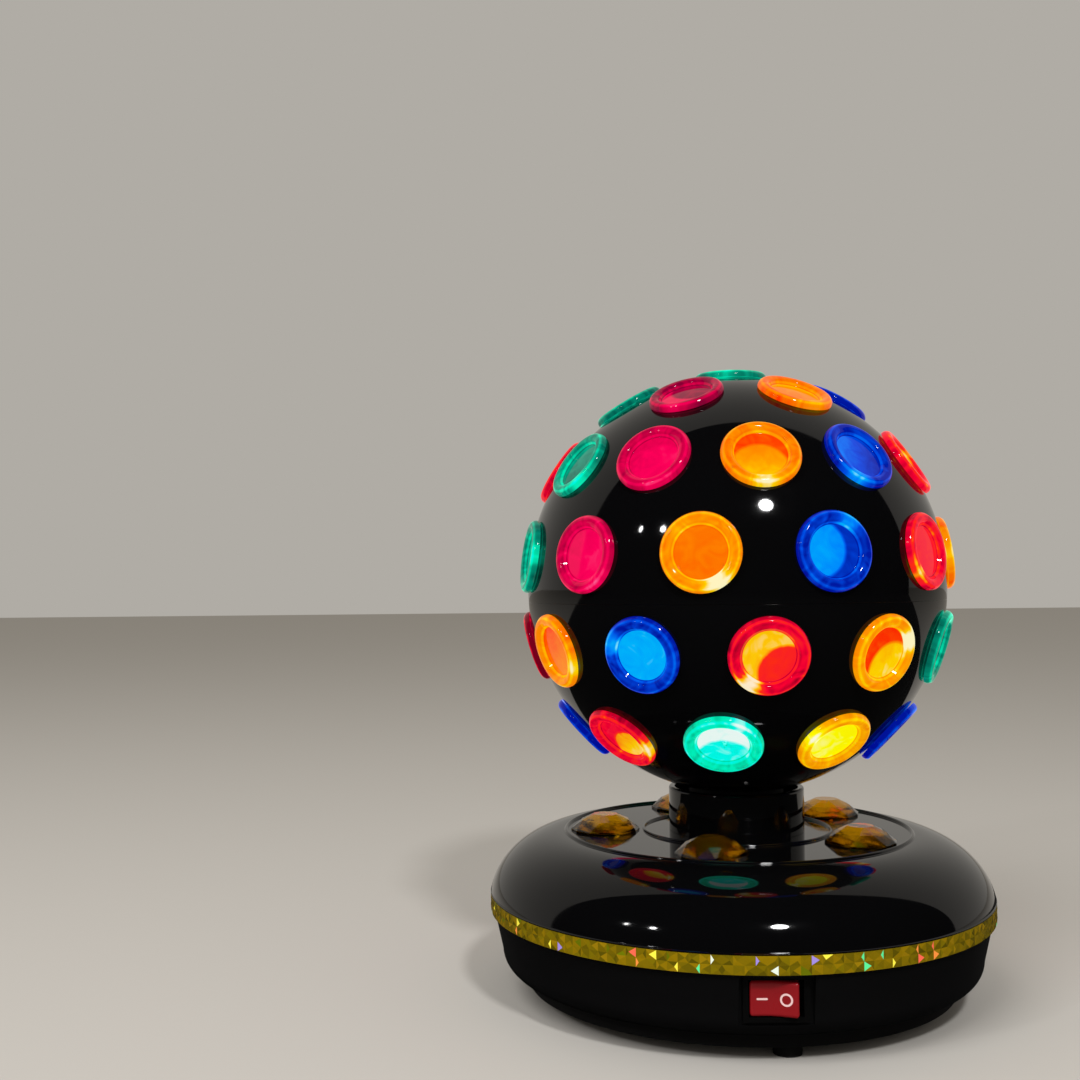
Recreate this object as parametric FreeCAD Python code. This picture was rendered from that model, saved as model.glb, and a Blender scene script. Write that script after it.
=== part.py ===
import FreeCAD, Part
import math
import os

from FreeCAD import Vector

# Rotating disco light: a ball studded with coloured lenses turns on a round motor base.
# Millimetres, +Z up, origin on the table under the ball's axis. The switch faces -Y.
# An azimuth is an angle from the front, -Y, towards +X.

# Ball, whose flat floor stands over the neck
ball_radius = 88.0
ball_wall = 2.2
ball_floor_thickness = 2.4
ball_floor_gap = 0.2
ball_floor_margin = 0.83
ball_bore_margin = 2.0
ball_inner_belts = 9
seam_latitude = -4.4
seam_lip_height = 4.0
seam_lip_wall = 1.6
seam_lip_cover = 1.3
seam_lip_clearance = 0.1

# Lens caps: a drafted rim that slopes in to a thin window over the hole
lens_hole_radius = 10.4
lens_flange_width = 4.9
lens_height = 3.0
lens_draft = 0.6
lens_rim_slope = 1.8
lens_window_inset = 0.7
lens_window_thickness = 0.9

# Lenses, by row from the top: latitude, count, and share of a pitch that the row is turned
lens_start_azimuth = -31.6
lens_row_latitude_degrees = (90.0, 60.4, 34.1, 8.2, -17.0, -43.2)
lens_row_counts = (1, 6, 11, 11, 11, 9)
lens_row_turn_shares = (0.0, -1.0, -2.0, -1.5, -2.0, -1.5)
lens_row_colours = (
    "green",
    "green magenta orange blue red yellow",
    "red green magenta orange blue red green magenta orange blue yellow",
    "green magenta orange blue red orange green magenta orange blue red",
    "red orange blue red orange green magenta yellow blue green magenta",
    "blue red green yellow blue red orange green magenta",
)

# Base heights, each on top of the one before, from the table up
foot_height = 5.0
plinth_height = 5.5
lower_shell_height = 24.3
shell_gap = 0.2
skirt_height = 7.4
dome_height = 24.6
dome_side_rise_share = 0.6463

# Base radii: the dome goes out from the deck, the rest in from the skirt
dome_reach = 30.9
dome_lip = 0.3
dome_side_reach_share = 0.7055
skirt_overhang = 1.3
lower_shell_flare = 12.3
lower_shell_round = 8.9
plinth_inset = 2.0
shell_floor_width = 17.0
base_wall = 2.5
shell_lip_height = 3.2
shell_lip_wall = 2.0

# Gold tape round the skirt
tape_thickness = 0.4
tape_edge_gap = 0.3

# Beads on the deck, one on each side of the jewels
bead_height = 1.0
bead_width = 1.4
inner_bead_gap = 10.9
outer_bead_inset = 1.6

# Neck collar round the drive
neck_clearance = 6.0
neck_wall = 2.5
neck_height = 18.3
neck_edge_chamfer = 0.8
neck_boss_radius = 2.6
neck_boss_height = 9.0
neck_boss_count = 3
neck_boss_azimuth = 30.0

# Jewels set on the deck between its beads
jewel_count = 6
jewel_azimuth = -15.6
jewel_radius = 14.5
jewel_margin = 1.3
jewel_sides = 12
jewel_girdle_height = 0.8
jewel_crown_height = 4.6
jewel_height = 6.9
jewel_crown_share = 0.70
jewel_table_share = 0.36

# Hub that carries the ball, out from the lamp post
hub_bore_clearance = 3.0
hub_wall = 3.0
hub_step = 2.0
hub_flange_width = 6.0
hub_flange_thickness = 2.5
hub_collar_width = 4.0
hub_collar_height = 3.4
hub_tail_length = 2.6
bearing_clearance = 0.06
thrust_gap = 0.05

# Bearing sleeve and thrust washer
sleeve_wall = 3.0
sleeve_flange_margin = 0.4
sleeve_flange_thickness = 1.6
sleeve_length = 12.0
sleeve_boss_wall = 3.0
sleeve_boss_height = 7.0
washer_thickness = 1.0
washer_clearance = 0.6
washer_width = 4.6

# Gears
gear_module = 1.0
ring_gear_teeth = 60
pinion_teeth = 20
pressure_angle = 20.0
gear_width = 6.0
pinion_width = 8.0
tooth_thinning = 0.12
gear_centre_gap = 0.08
gear_end_gap = 0.3
gear_hub_wall = 8.0
gear_rim_wall = 2.4
gear_relief_depth = 3.0
addendum_share = 1.0
dedendum_share = 1.25

# Retaining ring under the ring gear
clip_thickness = 1.2
clip_reach = 3.0
clip_groove_depth = 0.8
clip_opening = 16.0

# Gear motor, hung from the deck behind the axis
motor_radius = 25.0
motor_length = 21.0
motor_nose_radius = 6.0
motor_nose_height = 1.6
motor_ear_reach = 4.0
motor_ear_width = 11.0
motor_ear_thickness = 1.2
motor_boss_radius = 4.5
pinion_end_gap = 2.7
shaft_radius = 2.5
shaft_depth = 8.0
shaft_clearance = 0.06

# Lamp, whose globe is centred in the ball
post_radius = 6.0
post_wall = 1.4
post_flange_reach = 3.0
post_flange_thickness = 1.2
holder_length = 35.0
holder_wall = 6.1
holder_floor = 8.0
lamp_cap_radius = 6.9
lamp_cap_clearance = 0.2
lamp_cap_gap = 2.0
bulb_radius = 22.5
bulb_shoulder_share = 0.5333
bulb_neck_step = 0.7
bulb_neck_height = 10.97
bulb_belts = 7
nut_wall = 2.5
nut_thickness = 4.0

# Rocker switch in its pocket; its ends lie left and right, its sides above and below
switch_pocket_depth = 5.8
switch_pocket_rim = 0.6
switch_lift = 0.4
pocket_end_margin = 1.7
pocket_side_margin = 0.7
pocket_wall = 2.2
pocket_reach = 15.0
bezel_end_overlap = 1.1
bezel_side_overlap = 1.0
bezel_thickness = 1.6
switch_end_wall = 0.9
switch_side_wall = 0.8
switch_body_depth = 15.0
switch_cutout_clearance = 0.1
switch_hollow_depth = 7.0
rocker_width = 17.4
rocker_height = 12.6
rocker_end_clearance = 1.1
rocker_side_clearance = 0.2
rocker_pivot_depth = 4.0
rocker_crown_height = 5.8
rocker_plate_bottom = 1.0
rocker_keel_width = 6.0
rocker_keel_depth = 1.8
rocker_tilt = 10.0
rocker_pin_radius = 1.4
rocker_pin_reach = 0.5
rocker_pin_clearance = 0.06
terminal_width = 4.8
terminal_thickness = 0.8
terminal_length = 8.0
terminal_inset = 6.2

# Cord inlet at the back
inlet_rise = 11.0
inlet_pocket_depth = 9.3
inlet_end_margin = 2.0
inlet_side_margin = 0.5
grommet_bore_radius = 3.5
grommet_wall = 1.5
grommet_flange_reach = 1.0
grommet_flange_thickness = 1.5

# Fasteners, feet and vents
pillar_count = 4
pillar_inset = 9.0
pillar_azimuth = 50.0
pillar_wall = 2.45
base_screw_radius = 1.75
base_screw_clearance = 0.45
base_screw_head_reach = 1.75
base_screw_head_height = 2.4
base_screw_length = 20.0
counterbore_clearance = 0.3
counterbore_depth = 3.0
counterbore_wall = 1.7
small_screw_radius = 1.3
small_screw_head_reach = 1.1
small_screw_head_height = 1.8
small_screw_length = 7.0
hub_screw_count = 3
foot_count = 4
foot_inset = 9.0
foot_azimuth = 5.0
foot_radius = 5.4
foot_stem_radius = 2.0
vent_count = 12
vent_length = 16.0
vent_width = 3.0
vent_ring_share = 0.6

# One overrun serves every cut
cut = 1.0

# Base heights and fastener radii that follow
plinth_top_height = foot_height + plinth_height
plate_top_height = foot_height + base_wall
lower_shell_floor_height = plinth_top_height + base_wall
lower_shell_round_height = plinth_top_height + lower_shell_round
lower_shell_top_height = plinth_top_height + lower_shell_height
skirt_bottom_height = lower_shell_top_height + shell_gap
skirt_top_height = skirt_bottom_height + skirt_height
deck_height = skirt_top_height + dome_height
deck_underside_height = deck_height - base_wall
dome_side_height = skirt_top_height + dome_height * dome_side_rise_share
pillar_radius = base_screw_radius + pillar_wall
base_screw_head_radius = base_screw_radius + base_screw_head_reach
base_screw_hole_radius = base_screw_radius + base_screw_clearance
small_screw_head_radius = small_screw_radius + small_screw_head_reach

# Hub, bearing and neck that follow
hub_bore_radius = post_radius + hub_bore_clearance
hub_seat_radius = hub_bore_radius + hub_wall
hub_journal_radius = hub_seat_radius + hub_step
hub_collar_radius = hub_journal_radius + hub_collar_width
hub_flange_radius = hub_journal_radius + hub_flange_width
hub_screw_ring_radius = (hub_journal_radius + hub_flange_radius) / 2
washer_inner_radius = hub_journal_radius + washer_clearance
washer_outer_radius = washer_inner_radius + washer_width
sleeve_bore_radius = hub_journal_radius + bearing_clearance
sleeve_radius = sleeve_bore_radius + sleeve_wall
sleeve_flange_radius = washer_outer_radius + sleeve_flange_margin
sleeve_top_height = deck_height + sleeve_flange_thickness
sleeve_bottom_height = sleeve_top_height - sleeve_length
washer_top_height = sleeve_top_height + washer_thickness
hub_collar_bottom_height = washer_top_height + thrust_gap
hub_shoulder_height = sleeve_bottom_height - gear_end_gap
neck_inner_radius = hub_flange_radius + neck_clearance
neck_radius = neck_inner_radius + neck_wall
neck_top_height = deck_height + neck_height
neck_boss_ring_radius = neck_inner_radius - neck_boss_radius / 2

# Ball that follows
ball_inner_radius = ball_radius - ball_wall
ball_floor_radius = hub_flange_radius + ball_floor_margin
ball_floor_bore_radius = hub_bore_radius + ball_bore_margin
ball_floor_height = neck_top_height + ball_floor_gap
ball_centre_height = ball_floor_height + math.sqrt(ball_radius ** 2 - ball_floor_radius ** 2)
seam_height = ball_centre_height + ball_radius * math.sin(math.radians(seam_latitude))
lens_radius = lens_hole_radius + lens_flange_width
lens_seat = math.sqrt(ball_radius ** 2 - lens_hole_radius ** 2)

# Deck and base radii that follow, from the neck out to the skirt and in again
inner_bead_radius = neck_radius + inner_bead_gap
outer_bead_radius = inner_bead_radius + bead_width + 2 * (jewel_radius + jewel_margin)
jewel_ring_radius = (inner_bead_radius + outer_bead_radius) / 2
deck_edge_radius = outer_bead_radius + outer_bead_inset
dome_edge_radius = deck_edge_radius + dome_reach
dome_side_radius = deck_edge_radius + dome_reach * dome_side_reach_share
skirt_radius = dome_edge_radius - dome_lip
lower_shell_top_radius = skirt_radius - skirt_overhang
lower_shell_foot_radius = lower_shell_top_radius - lower_shell_flare
plinth_radius = lower_shell_foot_radius - plinth_inset
shell_floor_inner_radius = lower_shell_foot_radius - shell_floor_width
pillar_ring_radius = plinth_radius - pillar_inset
foot_ring_radius = plinth_radius - foot_inset

# Drive that follows
gear_bottom_height = hub_shoulder_height - gear_width
gear_distance = gear_module * (ring_gear_teeth + pinion_teeth) / 2 + gear_centre_gap
gear_hub_radius = hub_seat_radius + gear_hub_wall
hub_bottom_height = gear_bottom_height - hub_tail_length
clip_radius = hub_seat_radius + clip_reach
pinion_bottom_height = gear_bottom_height - (pinion_width - gear_width) / 2
motor_nose_top_height = pinion_bottom_height - pinion_end_gap
motor_top_height = motor_nose_top_height - motor_nose_height

# Lamp that follows
bulb_shoulder_radius = bulb_radius * bulb_shoulder_share
bulb_shoulder_drop = math.sqrt(bulb_radius ** 2 - bulb_shoulder_radius ** 2)
holder_top_height = ball_centre_height - bulb_shoulder_drop - bulb_neck_height
holder_base_height = holder_top_height - holder_length
holder_radius = lamp_cap_radius + holder_wall

# Switch and cord inlet that follow
switch_body_width = rocker_width + 2 * (rocker_end_clearance + switch_end_wall)
switch_body_height = rocker_height + 2 * (rocker_side_clearance + switch_side_wall)
bezel_width = switch_body_width + 2 * bezel_end_overlap
bezel_height = switch_body_height + 2 * bezel_side_overlap
switch_pocket_width = bezel_width + 2 * pocket_end_margin
switch_pocket_height = bezel_height + 2 * pocket_side_margin
switch_pocket_floor = lower_shell_top_radius - switch_pocket_depth
switch_pocket_centre_height = lower_shell_top_height - switch_pocket_rim - switch_pocket_height / 2
switch_height = switch_pocket_centre_height + switch_lift
pivot_y = -(switch_pocket_floor + bezel_thickness) + rocker_pivot_depth
inlet_height = plinth_top_height + inlet_rise
inlet_hole_radius = grommet_bore_radius + grommet_wall
grommet_flange_radius = inlet_hole_radius + grommet_flange_reach
inlet_pocket_width = 2 * (grommet_flange_radius + inlet_end_margin)
inlet_pocket_height = 2 * (grommet_flange_radius + inlet_side_margin)
inlet_pocket_floor = lower_shell_top_radius - inlet_pocket_depth


def outward(azimuth):
    """Unit vector away from the axis at an azimuth in degrees."""
    angle = math.radians(azimuth)
    return Vector(math.sin(angle), -math.cos(angle), 0)


def ring_points(radius, count, first_azimuth, height=0.0):
    """Points spaced evenly on a level circle about the axis."""
    step = 360.0 / count
    points = [outward(first_azimuth + step * i) * radius for i in range(count)]
    return [point + Vector(0, 0, height) for point in points]


def turned(outline):
    """Solid of revolution about Z from a closed outline of (radius, height) points.

    An entry that holds two points is an arc through the first of them to the second."""
    here = Vector(outline[0][0], 0, outline[0][1])
    edges = []
    for entry in outline[1:] + outline[:1]:
        points = entry if isinstance(entry[0], tuple) else (entry,)
        stops = [Vector(r, 0, z) for r, z in points]
        if len(stops) == 2:
            edges.append(Part.Arc(here, stops[0], stops[1]).toShape())
        else:
            edges.append(Part.makeLine(here, stops[0]))
        here = stops[-1]
    return Part.Face(Part.Wire(edges)).revolve(Vector(0, 0, 0), Vector(0, 0, 1), 360)


def belts(radius, height, first_angle, count):
    """Outline points up a circle on the axis to its top, each pair a conical belt once turned."""
    step = (90 - first_angle) / count
    angles = [math.radians(first_angle + step * i) for i in range(count)]
    points = [(radius * math.cos(a), height + radius * math.sin(a)) for a in angles]
    return points + [(0, height + radius)]


def post(radius, bottom, top, centre=Vector(0, 0, 0)):
    """Upright cylinder between two heights."""
    return Part.makeCylinder(radius, top - bottom, Vector(centre.x, centre.y, bottom))


def tube(outer, inner, bottom, top):
    """Upright ring between two heights."""
    return turned([(inner, bottom), (outer, bottom), (outer, top), (inner, top)])


def block(width, depth, height, centre):
    """Box with its sides along X, Y and Z about a centre."""
    corner = centre - Vector(width / 2, depth / 2, height / 2)
    return Part.makeBox(width, depth, height, corner)


def fused(shapes):
    """One solid from shapes that overlap or share a face."""
    return shapes[0].multiFuse(shapes[1:]).removeSplitter()


def export(name, *shapes):
    """Writes one node as a STEP file and prints what it holds."""
    shape = shapes[0] if len(shapes) == 1 else Part.makeCompound(list(shapes))
    shape.exportStep("parts/" + name + ".step")
    print(name, len(shape.Solids), "solids", round(shape.Volume / 1000, 2), "cm3", shape.isValid())


def screws(points, seat, radius, head_radius, head_height, length, upward):
    """Pan-head screws whose heads bear on a seat height, with shanks up or down."""
    side = 1 if upward else -1
    result = []
    for point in points:
        start = Vector(point.x, point.y, seat)
        head = Part.makeCylinder(head_radius, head_height, start, Vector(0, 0, -side))
        shank = Part.makeCylinder(radius, length, start, Vector(0, 0, side))
        result.append(fused([head, shank]))
    return result


def lens_rows():
    """Colour, centre direction of every lens, row by row from the top."""
    rows = zip(
        lens_row_latitude_degrees,
        lens_row_counts,
        lens_row_turn_shares,
        lens_row_colours,
    )
    for latitude, count, turn_share, colours in rows:
        pitch = 360.0 / count
        for i, colour in enumerate(colours.split()):
            azimuth = lens_start_azimuth + pitch * (turn_share + i)
            level = math.cos(math.radians(latitude))
            rise = math.sin(math.radians(latitude))
            yield colour, outward(azimuth) * level + Vector(0, 0, rise)


def ball_cavity():
    """Inside of the ball, a stack of shallow cones above the flat floor."""
    floor_height = ball_floor_height + ball_floor_thickness
    drop = floor_height - ball_centre_height
    lowest = math.degrees(math.asin(drop / ball_inner_radius))
    side = belts(ball_inner_radius, ball_centre_height, lowest, ball_inner_belts)
    return turned([(0, floor_height)] + side)


def ball_shells():
    """Upper and lower half of the ball, lapped at the seam and holed for the lenses."""
    centre = Vector(0, 0, ball_centre_height)
    ball = Part.makeSphere(ball_radius, centre)
    below = post(ball_radius, ball_centre_height - 2 * ball_radius, ball_floor_height)
    reach = ball_inner_radius - ball_wall
    depth = ball_radius + lens_height - reach
    holes = [
        Part.makeCylinder(lens_hole_radius, depth, centre + way * reach, way)
        for colour, way in lens_rows()
    ]
    shell = ball.cut(below).cut(ball_cavity()).cut(Part.makeCompound(holes))
    upper_side = post(2 * ball_radius, seam_height, ball_centre_height + 2 * ball_radius)
    seam_radius = ball_radius * math.cos(math.radians(seam_latitude))
    lip_radius = seam_radius - seam_lip_cover
    lip_top = seam_height + seam_lip_height
    rebate = post(lip_radius, seam_height, lip_top)
    lip_outer = lip_radius - seam_lip_clearance
    lip = tube(
        lip_outer,
        lip_outer - seam_lip_wall,
        seam_height - seam_lip_height,
        lip_top - seam_lip_clearance,
    )
    upper = shell.common(upper_side).cut(rebate)
    lower = fused([shell.cut(upper_side), lip])
    points = ring_points(hub_screw_ring_radius, hub_screw_count, 0)
    lower = lower.cut(post(ball_floor_bore_radius, ball_floor_height - cut, ball_centre_height))
    for point in points:
        lower = lower.cut(post(small_screw_radius, ball_floor_height - cut, ball_centre_height, point))
    return upper, lower


def lens_cap():
    """One lens cap, drawn upright on its seat: foot, drafted side, rim, inner slope and window."""
    window_radius = lens_hole_radius - lens_window_inset
    return turned([
        (0, 0),
        (lens_radius, 0),
        (lens_radius - lens_draft, lens_height),
        (window_radius + lens_rim_slope, lens_height),
        (window_radius, lens_window_thickness),
        (0, lens_window_thickness),
    ])


def lens_groups():
    """Lens caps seated square on the edges of their holes, sorted by colour."""
    groups = {}
    cap = lens_cap()
    centre = Vector(0, 0, ball_centre_height)
    for colour, way in lens_rows():
        lens = cap.copy()
        lens.Placement = FreeCAD.Placement(
            centre + way * lens_seat, FreeCAD.Rotation(Vector(0, 0, 1), way)
        )
        groups.setdefault(colour, []).append(lens)
    return groups


def ball_hub():
    """Turned hub: flange under the ball, collar on the washer, journal, gear seat and clip groove."""
    groove_radius = hub_seat_radius - clip_groove_depth
    flange_bottom = ball_floor_height - hub_flange_thickness
    collar_top = hub_collar_bottom_height + hub_collar_height
    clip_bottom = gear_bottom_height - clip_thickness
    hub = turned([
        (hub_bore_radius, hub_bottom_height),
        (hub_seat_radius, hub_bottom_height),
        (hub_seat_radius, clip_bottom),
        (groove_radius, clip_bottom),
        (groove_radius, gear_bottom_height),
        (hub_seat_radius, gear_bottom_height),
        (hub_seat_radius, hub_shoulder_height),
        (hub_journal_radius, hub_shoulder_height),
        (hub_journal_radius, hub_collar_bottom_height),
        (hub_collar_radius, hub_collar_bottom_height),
        (hub_collar_radius, collar_top),
        (hub_journal_radius, collar_top),
        (hub_journal_radius, flange_bottom),
        (hub_flange_radius, flange_bottom),
        (hub_flange_radius, ball_floor_height),
        (hub_bore_radius, ball_floor_height),
    ])
    for point in ring_points(hub_screw_ring_radius, hub_screw_count, 0):
        hub = hub.cut(post(small_screw_radius, flange_bottom - cut, ball_floor_height + cut, point))
    return hub


def tooth_flank(teeth):
    """Angle from the tooth's middle and radius of the points up one flank."""
    pitch_radius = gear_module * teeth / 2
    pressure = math.radians(pressure_angle)
    base_radius = pitch_radius * math.cos(pressure)
    tip_radius = pitch_radius + gear_module * addendum_share
    root_radius = pitch_radius - gear_module * dedendum_share
    start_radius = max(base_radius, root_radius)
    half_angle = (math.pi * gear_module / 2 - tooth_thinning) / (2 * pitch_radius)
    widest = half_angle + math.tan(pressure) - pressure
    flank = []
    for radius in (start_radius, (start_radius + tip_radius) / 2, tip_radius):
        local = math.acos(base_radius / radius)
        flank.append((widest - math.tan(local) + local, radius))
    if root_radius < start_radius:
        flank.insert(0, (flank[0][0], root_radius))
    return flank


def gear_outline(teeth, first_angle, centre):
    """Wire round a spur gear's teeth, the first tooth's middle at an angle from +Y."""
    flank = tooth_flank(teeth)
    tooth = [(-angle, radius) for angle, radius in flank] + flank[::-1]
    points = []
    for i in range(teeth):
        middle = math.radians(first_angle + 360.0 * i / teeth)
        for angle, radius in tooth:
            turn = middle + angle
            points.append(centre + Vector(radius * math.sin(turn), radius * math.cos(turn), 0))
    return Part.makePolygon(points + points[:1])


def ring_gear():
    """Ring gear on the hub's seat, with a thinner web between its boss and its rim."""
    outline = gear_outline(ring_gear_teeth, 0, Vector(0, 0, gear_bottom_height))
    gear = Part.Face(outline).extrude(Vector(0, 0, gear_width))
    root_radius = gear_module * (ring_gear_teeth / 2 - dedendum_share)
    relief_radius = root_radius - gear_rim_wall
    relief_top = gear_bottom_height + gear_relief_depth
    relief = tube(relief_radius, gear_hub_radius, gear_bottom_height - cut, relief_top)
    bore = post(hub_seat_radius, gear_bottom_height - cut, hub_shoulder_height + cut)
    return gear.cut(relief).cut(bore)


def retaining_ring():
    """Open spring ring in the hub's groove, under the ring gear."""
    bottom = gear_bottom_height - clip_thickness
    ring = tube(clip_radius, hub_seat_radius - clip_groove_depth, bottom, gear_bottom_height)
    middle = Vector(0, -clip_radius, bottom)
    return ring.cut(block(clip_opening, clip_radius, 2 * gear_width, middle))


def drive_pinion():
    """Pinion on the motor shaft, a tooth gap facing the ring gear."""
    centre = Vector(0, gear_distance, pinion_bottom_height)
    half_pitch = 180.0 / pinion_teeth
    pinion = Part.Face(gear_outline(pinion_teeth, 180.0 + half_pitch, centre))
    pinion = pinion.extrude(Vector(0, 0, pinion_width))
    top = pinion_bottom_height + pinion_width
    return pinion.cut(post(shaft_radius, pinion_bottom_height - cut, top + cut, centre))


def motor_shaft():
    """Steel output shaft from inside the gear motor to the pinion's top."""
    bottom = motor_nose_top_height - shaft_depth
    centre = Vector(0, gear_distance, 0)
    return post(shaft_radius, bottom, pinion_bottom_height + pinion_width, centre)


def motor_ear_points():
    """Centres of the two motor screws."""
    side = Vector(motor_radius + motor_ear_reach, 0, 0)
    middle = Vector(0, gear_distance, 0)
    return [middle - side, middle + side]


def gear_motor():
    """Round synchronous gear motor with two ears, a nose and a blind shaft bore."""
    centre = Vector(0, gear_distance, 0)
    can = post(motor_radius, motor_top_height - motor_length, motor_top_height, centre)
    nose = post(motor_nose_radius, motor_top_height, motor_nose_top_height, centre)
    ear_middle = Vector(0, gear_distance, motor_top_height - motor_ear_thickness / 2)
    ear_spacing = 2 * (motor_radius + motor_ear_reach)
    ears = block(ear_spacing, motor_ear_width, motor_ear_thickness, ear_middle)
    ends = [
        post(motor_ear_width / 2, motor_top_height - motor_ear_thickness, motor_top_height, point)
        for point in motor_ear_points()
    ]
    motor = fused([can, nose, ears] + ends)
    bore_bottom = motor_nose_top_height - shaft_depth - gear_end_gap
    bore_top = motor_nose_top_height + cut
    motor = motor.cut(post(shaft_radius + shaft_clearance, bore_bottom, bore_top, centre))
    for point in motor_ear_points():
        hole_bottom = motor_top_height - motor_ear_thickness - cut
        motor = motor.cut(post(base_screw_radius, hole_bottom, motor_top_height + cut, point))
    return motor


def base_top_cover():
    """Dome, flat deck and skirt in one moulding, with the bosses that it carries inside."""
    skirt_inner_radius = skirt_radius - base_wall
    shell = turned([
        (skirt_radius, skirt_top_height),
        (dome_edge_radius, skirt_top_height),
        ((dome_side_radius, dome_side_height), (deck_edge_radius, deck_height)),
        (sleeve_radius, deck_height),
        (sleeve_radius, deck_underside_height),
        (deck_edge_radius, deck_underside_height),
        (dome_side_radius - 2 * base_wall, dome_side_height - base_wall / 2),
        (skirt_inner_radius, skirt_top_height),
        (skirt_inner_radius, skirt_bottom_height),
        (skirt_radius, skirt_bottom_height),
    ])
    beads = [
        tube(r + bead_width / 2, r - bead_width / 2, deck_height - base_wall / 2, deck_height + bead_height)
        for r in (inner_bead_radius, outer_bead_radius)
    ]
    boss = tube(
        sleeve_radius + sleeve_boss_wall,
        sleeve_radius,
        deck_underside_height - sleeve_boss_height,
        deck_underside_height,
    )
    pillars = [
        post(pillar_radius, lower_shell_floor_height, deck_underside_height, point)
        for point in ring_points(pillar_ring_radius, pillar_count, pillar_azimuth)
    ]
    hangers = [
        post(motor_boss_radius, motor_top_height, deck_underside_height, point)
        for point in motor_ear_points()
    ]
    cover = fused([shell] + beads + [boss] + pillars + hangers)
    for point in ring_points(pillar_ring_radius, pillar_count, pillar_azimuth):
        bottom = lower_shell_floor_height - cut
        cover = cover.cut(post(base_screw_radius, bottom, bottom + base_screw_length, point))
    for point in motor_ear_points():
        top = motor_top_height + small_screw_length + cut
        cover = cover.cut(post(base_screw_radius, motor_top_height - cut, top, point))
    for point in ring_points(neck_boss_ring_radius, neck_boss_count, neck_boss_azimuth):
        cover = cover.cut(post(small_screw_radius, deck_underside_height - cut, deck_height + cut, point))
    return cover


def neck_collar():
    """Short neck that hides the drive, with bosses for its screws inside."""
    collar = turned([
        (neck_inner_radius, deck_height),
        (neck_radius, deck_height),
        (neck_radius, neck_top_height - neck_edge_chamfer),
        (neck_radius - neck_edge_chamfer, neck_top_height),
        (neck_inner_radius, neck_top_height),
    ])
    points = ring_points(neck_boss_ring_radius, neck_boss_count, neck_boss_azimuth)
    boss_top = deck_height + neck_boss_height
    bosses = [post(neck_boss_radius, deck_height, boss_top, point) for point in points]
    collar = fused([collar] + bosses)
    hole_top = deck_underside_height + small_screw_length + cut
    for point in points:
        collar = collar.cut(post(small_screw_radius, deck_height - cut, hole_top, point))
    return collar


def bearing_sleeve():
    """Flanged plain bearing pressed into the deck for the hub's journal."""
    return turned([
        (sleeve_bore_radius, sleeve_bottom_height),
        (sleeve_radius, sleeve_bottom_height),
        (sleeve_radius, deck_height),
        (sleeve_flange_radius, deck_height),
        (sleeve_flange_radius, sleeve_top_height),
        (sleeve_bore_radius, sleeve_top_height),
    ])


def jewel(centre):
    """Cut stone: a girdle, a crown of triangular facets and a flat table."""
    rings = (
        (jewel_radius, 0.0, 0.0),
        (jewel_radius, jewel_girdle_height, 0.0),
        (jewel_radius * jewel_crown_share, jewel_crown_height, 0.5),
        (jewel_radius * jewel_table_share, jewel_height, 0.0),
    )
    step = 2 * math.pi / jewel_sides
    loops = []
    for radius, height, turn_share in rings:
        angles = [step * (i + turn_share) for i in range(jewel_sides)]
        loops.append([
            centre + Vector(radius * math.cos(a), radius * math.sin(a), height) for a in angles
        ])
    bottom, girdle, crown, table = loops
    wires = [bottom, table]
    for i in range(jewel_sides):
        j = (i + 1) % jewel_sides
        wires.append([bottom[i], bottom[j], girdle[j], girdle[i]])
        wires.append([girdle[i], girdle[j], crown[i]])
        wires.append([girdle[j], crown[j], crown[i]])
        wires.append([crown[i], crown[j], table[j]])
        wires.append([crown[i], table[j], table[i]])
    faces = [Part.Face(Part.makePolygon(points + points[:1])) for points in wires]
    return Part.makeSolid(Part.makeShell(faces))


def lower_outline(hollow):
    """Bowl of the lower shell, filled, or hollowed down to its wall and its floor ring."""
    round_share = math.sqrt(0.5)
    foot = (lower_shell_foot_radius, plinth_top_height)
    middle_radius = lower_shell_foot_radius + lower_shell_round * round_share
    middle_height = lower_shell_round_height - lower_shell_round * round_share
    side = (lower_shell_foot_radius + lower_shell_round, lower_shell_round_height)
    outside = [foot, ((middle_radius, middle_height), side)]
    outside.append((lower_shell_top_radius, lower_shell_top_height))
    if not hollow:
        return turned(outside + [(0, lower_shell_top_height), (0, plinth_top_height)])
    return turned(outside + [
        (lower_shell_top_radius - base_wall, lower_shell_top_height),
        (side[0] - base_wall, side[1]),
        (middle_radius - base_wall * round_share, middle_height + base_wall * round_share),
        (lower_shell_foot_radius, lower_shell_floor_height),
        (shell_floor_inner_radius, lower_shell_floor_height),
        (shell_floor_inner_radius, plinth_top_height),
    ])


def pocket(width, height, floor, centre_height, side):
    """Block that backs a flat pocket in the wall, and the cut that opens it; side is -1 in front."""
    top = min(lower_shell_top_height, centre_height + height / 2 + pocket_wall)
    bottom = max(plinth_top_height, centre_height - height / 2 - pocket_wall)
    middle = Vector(0, side * lower_shell_top_radius, (top + bottom) / 2)
    deep = 2 * (lower_shell_top_radius - floor + pocket_wall)
    backing = block(width + 2 * pocket_wall, deep, top - bottom, middle)
    middle = Vector(0, side * lower_shell_top_radius, centre_height)
    opening = block(width, 2 * (lower_shell_top_radius - floor), height, middle)
    return backing, opening


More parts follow.
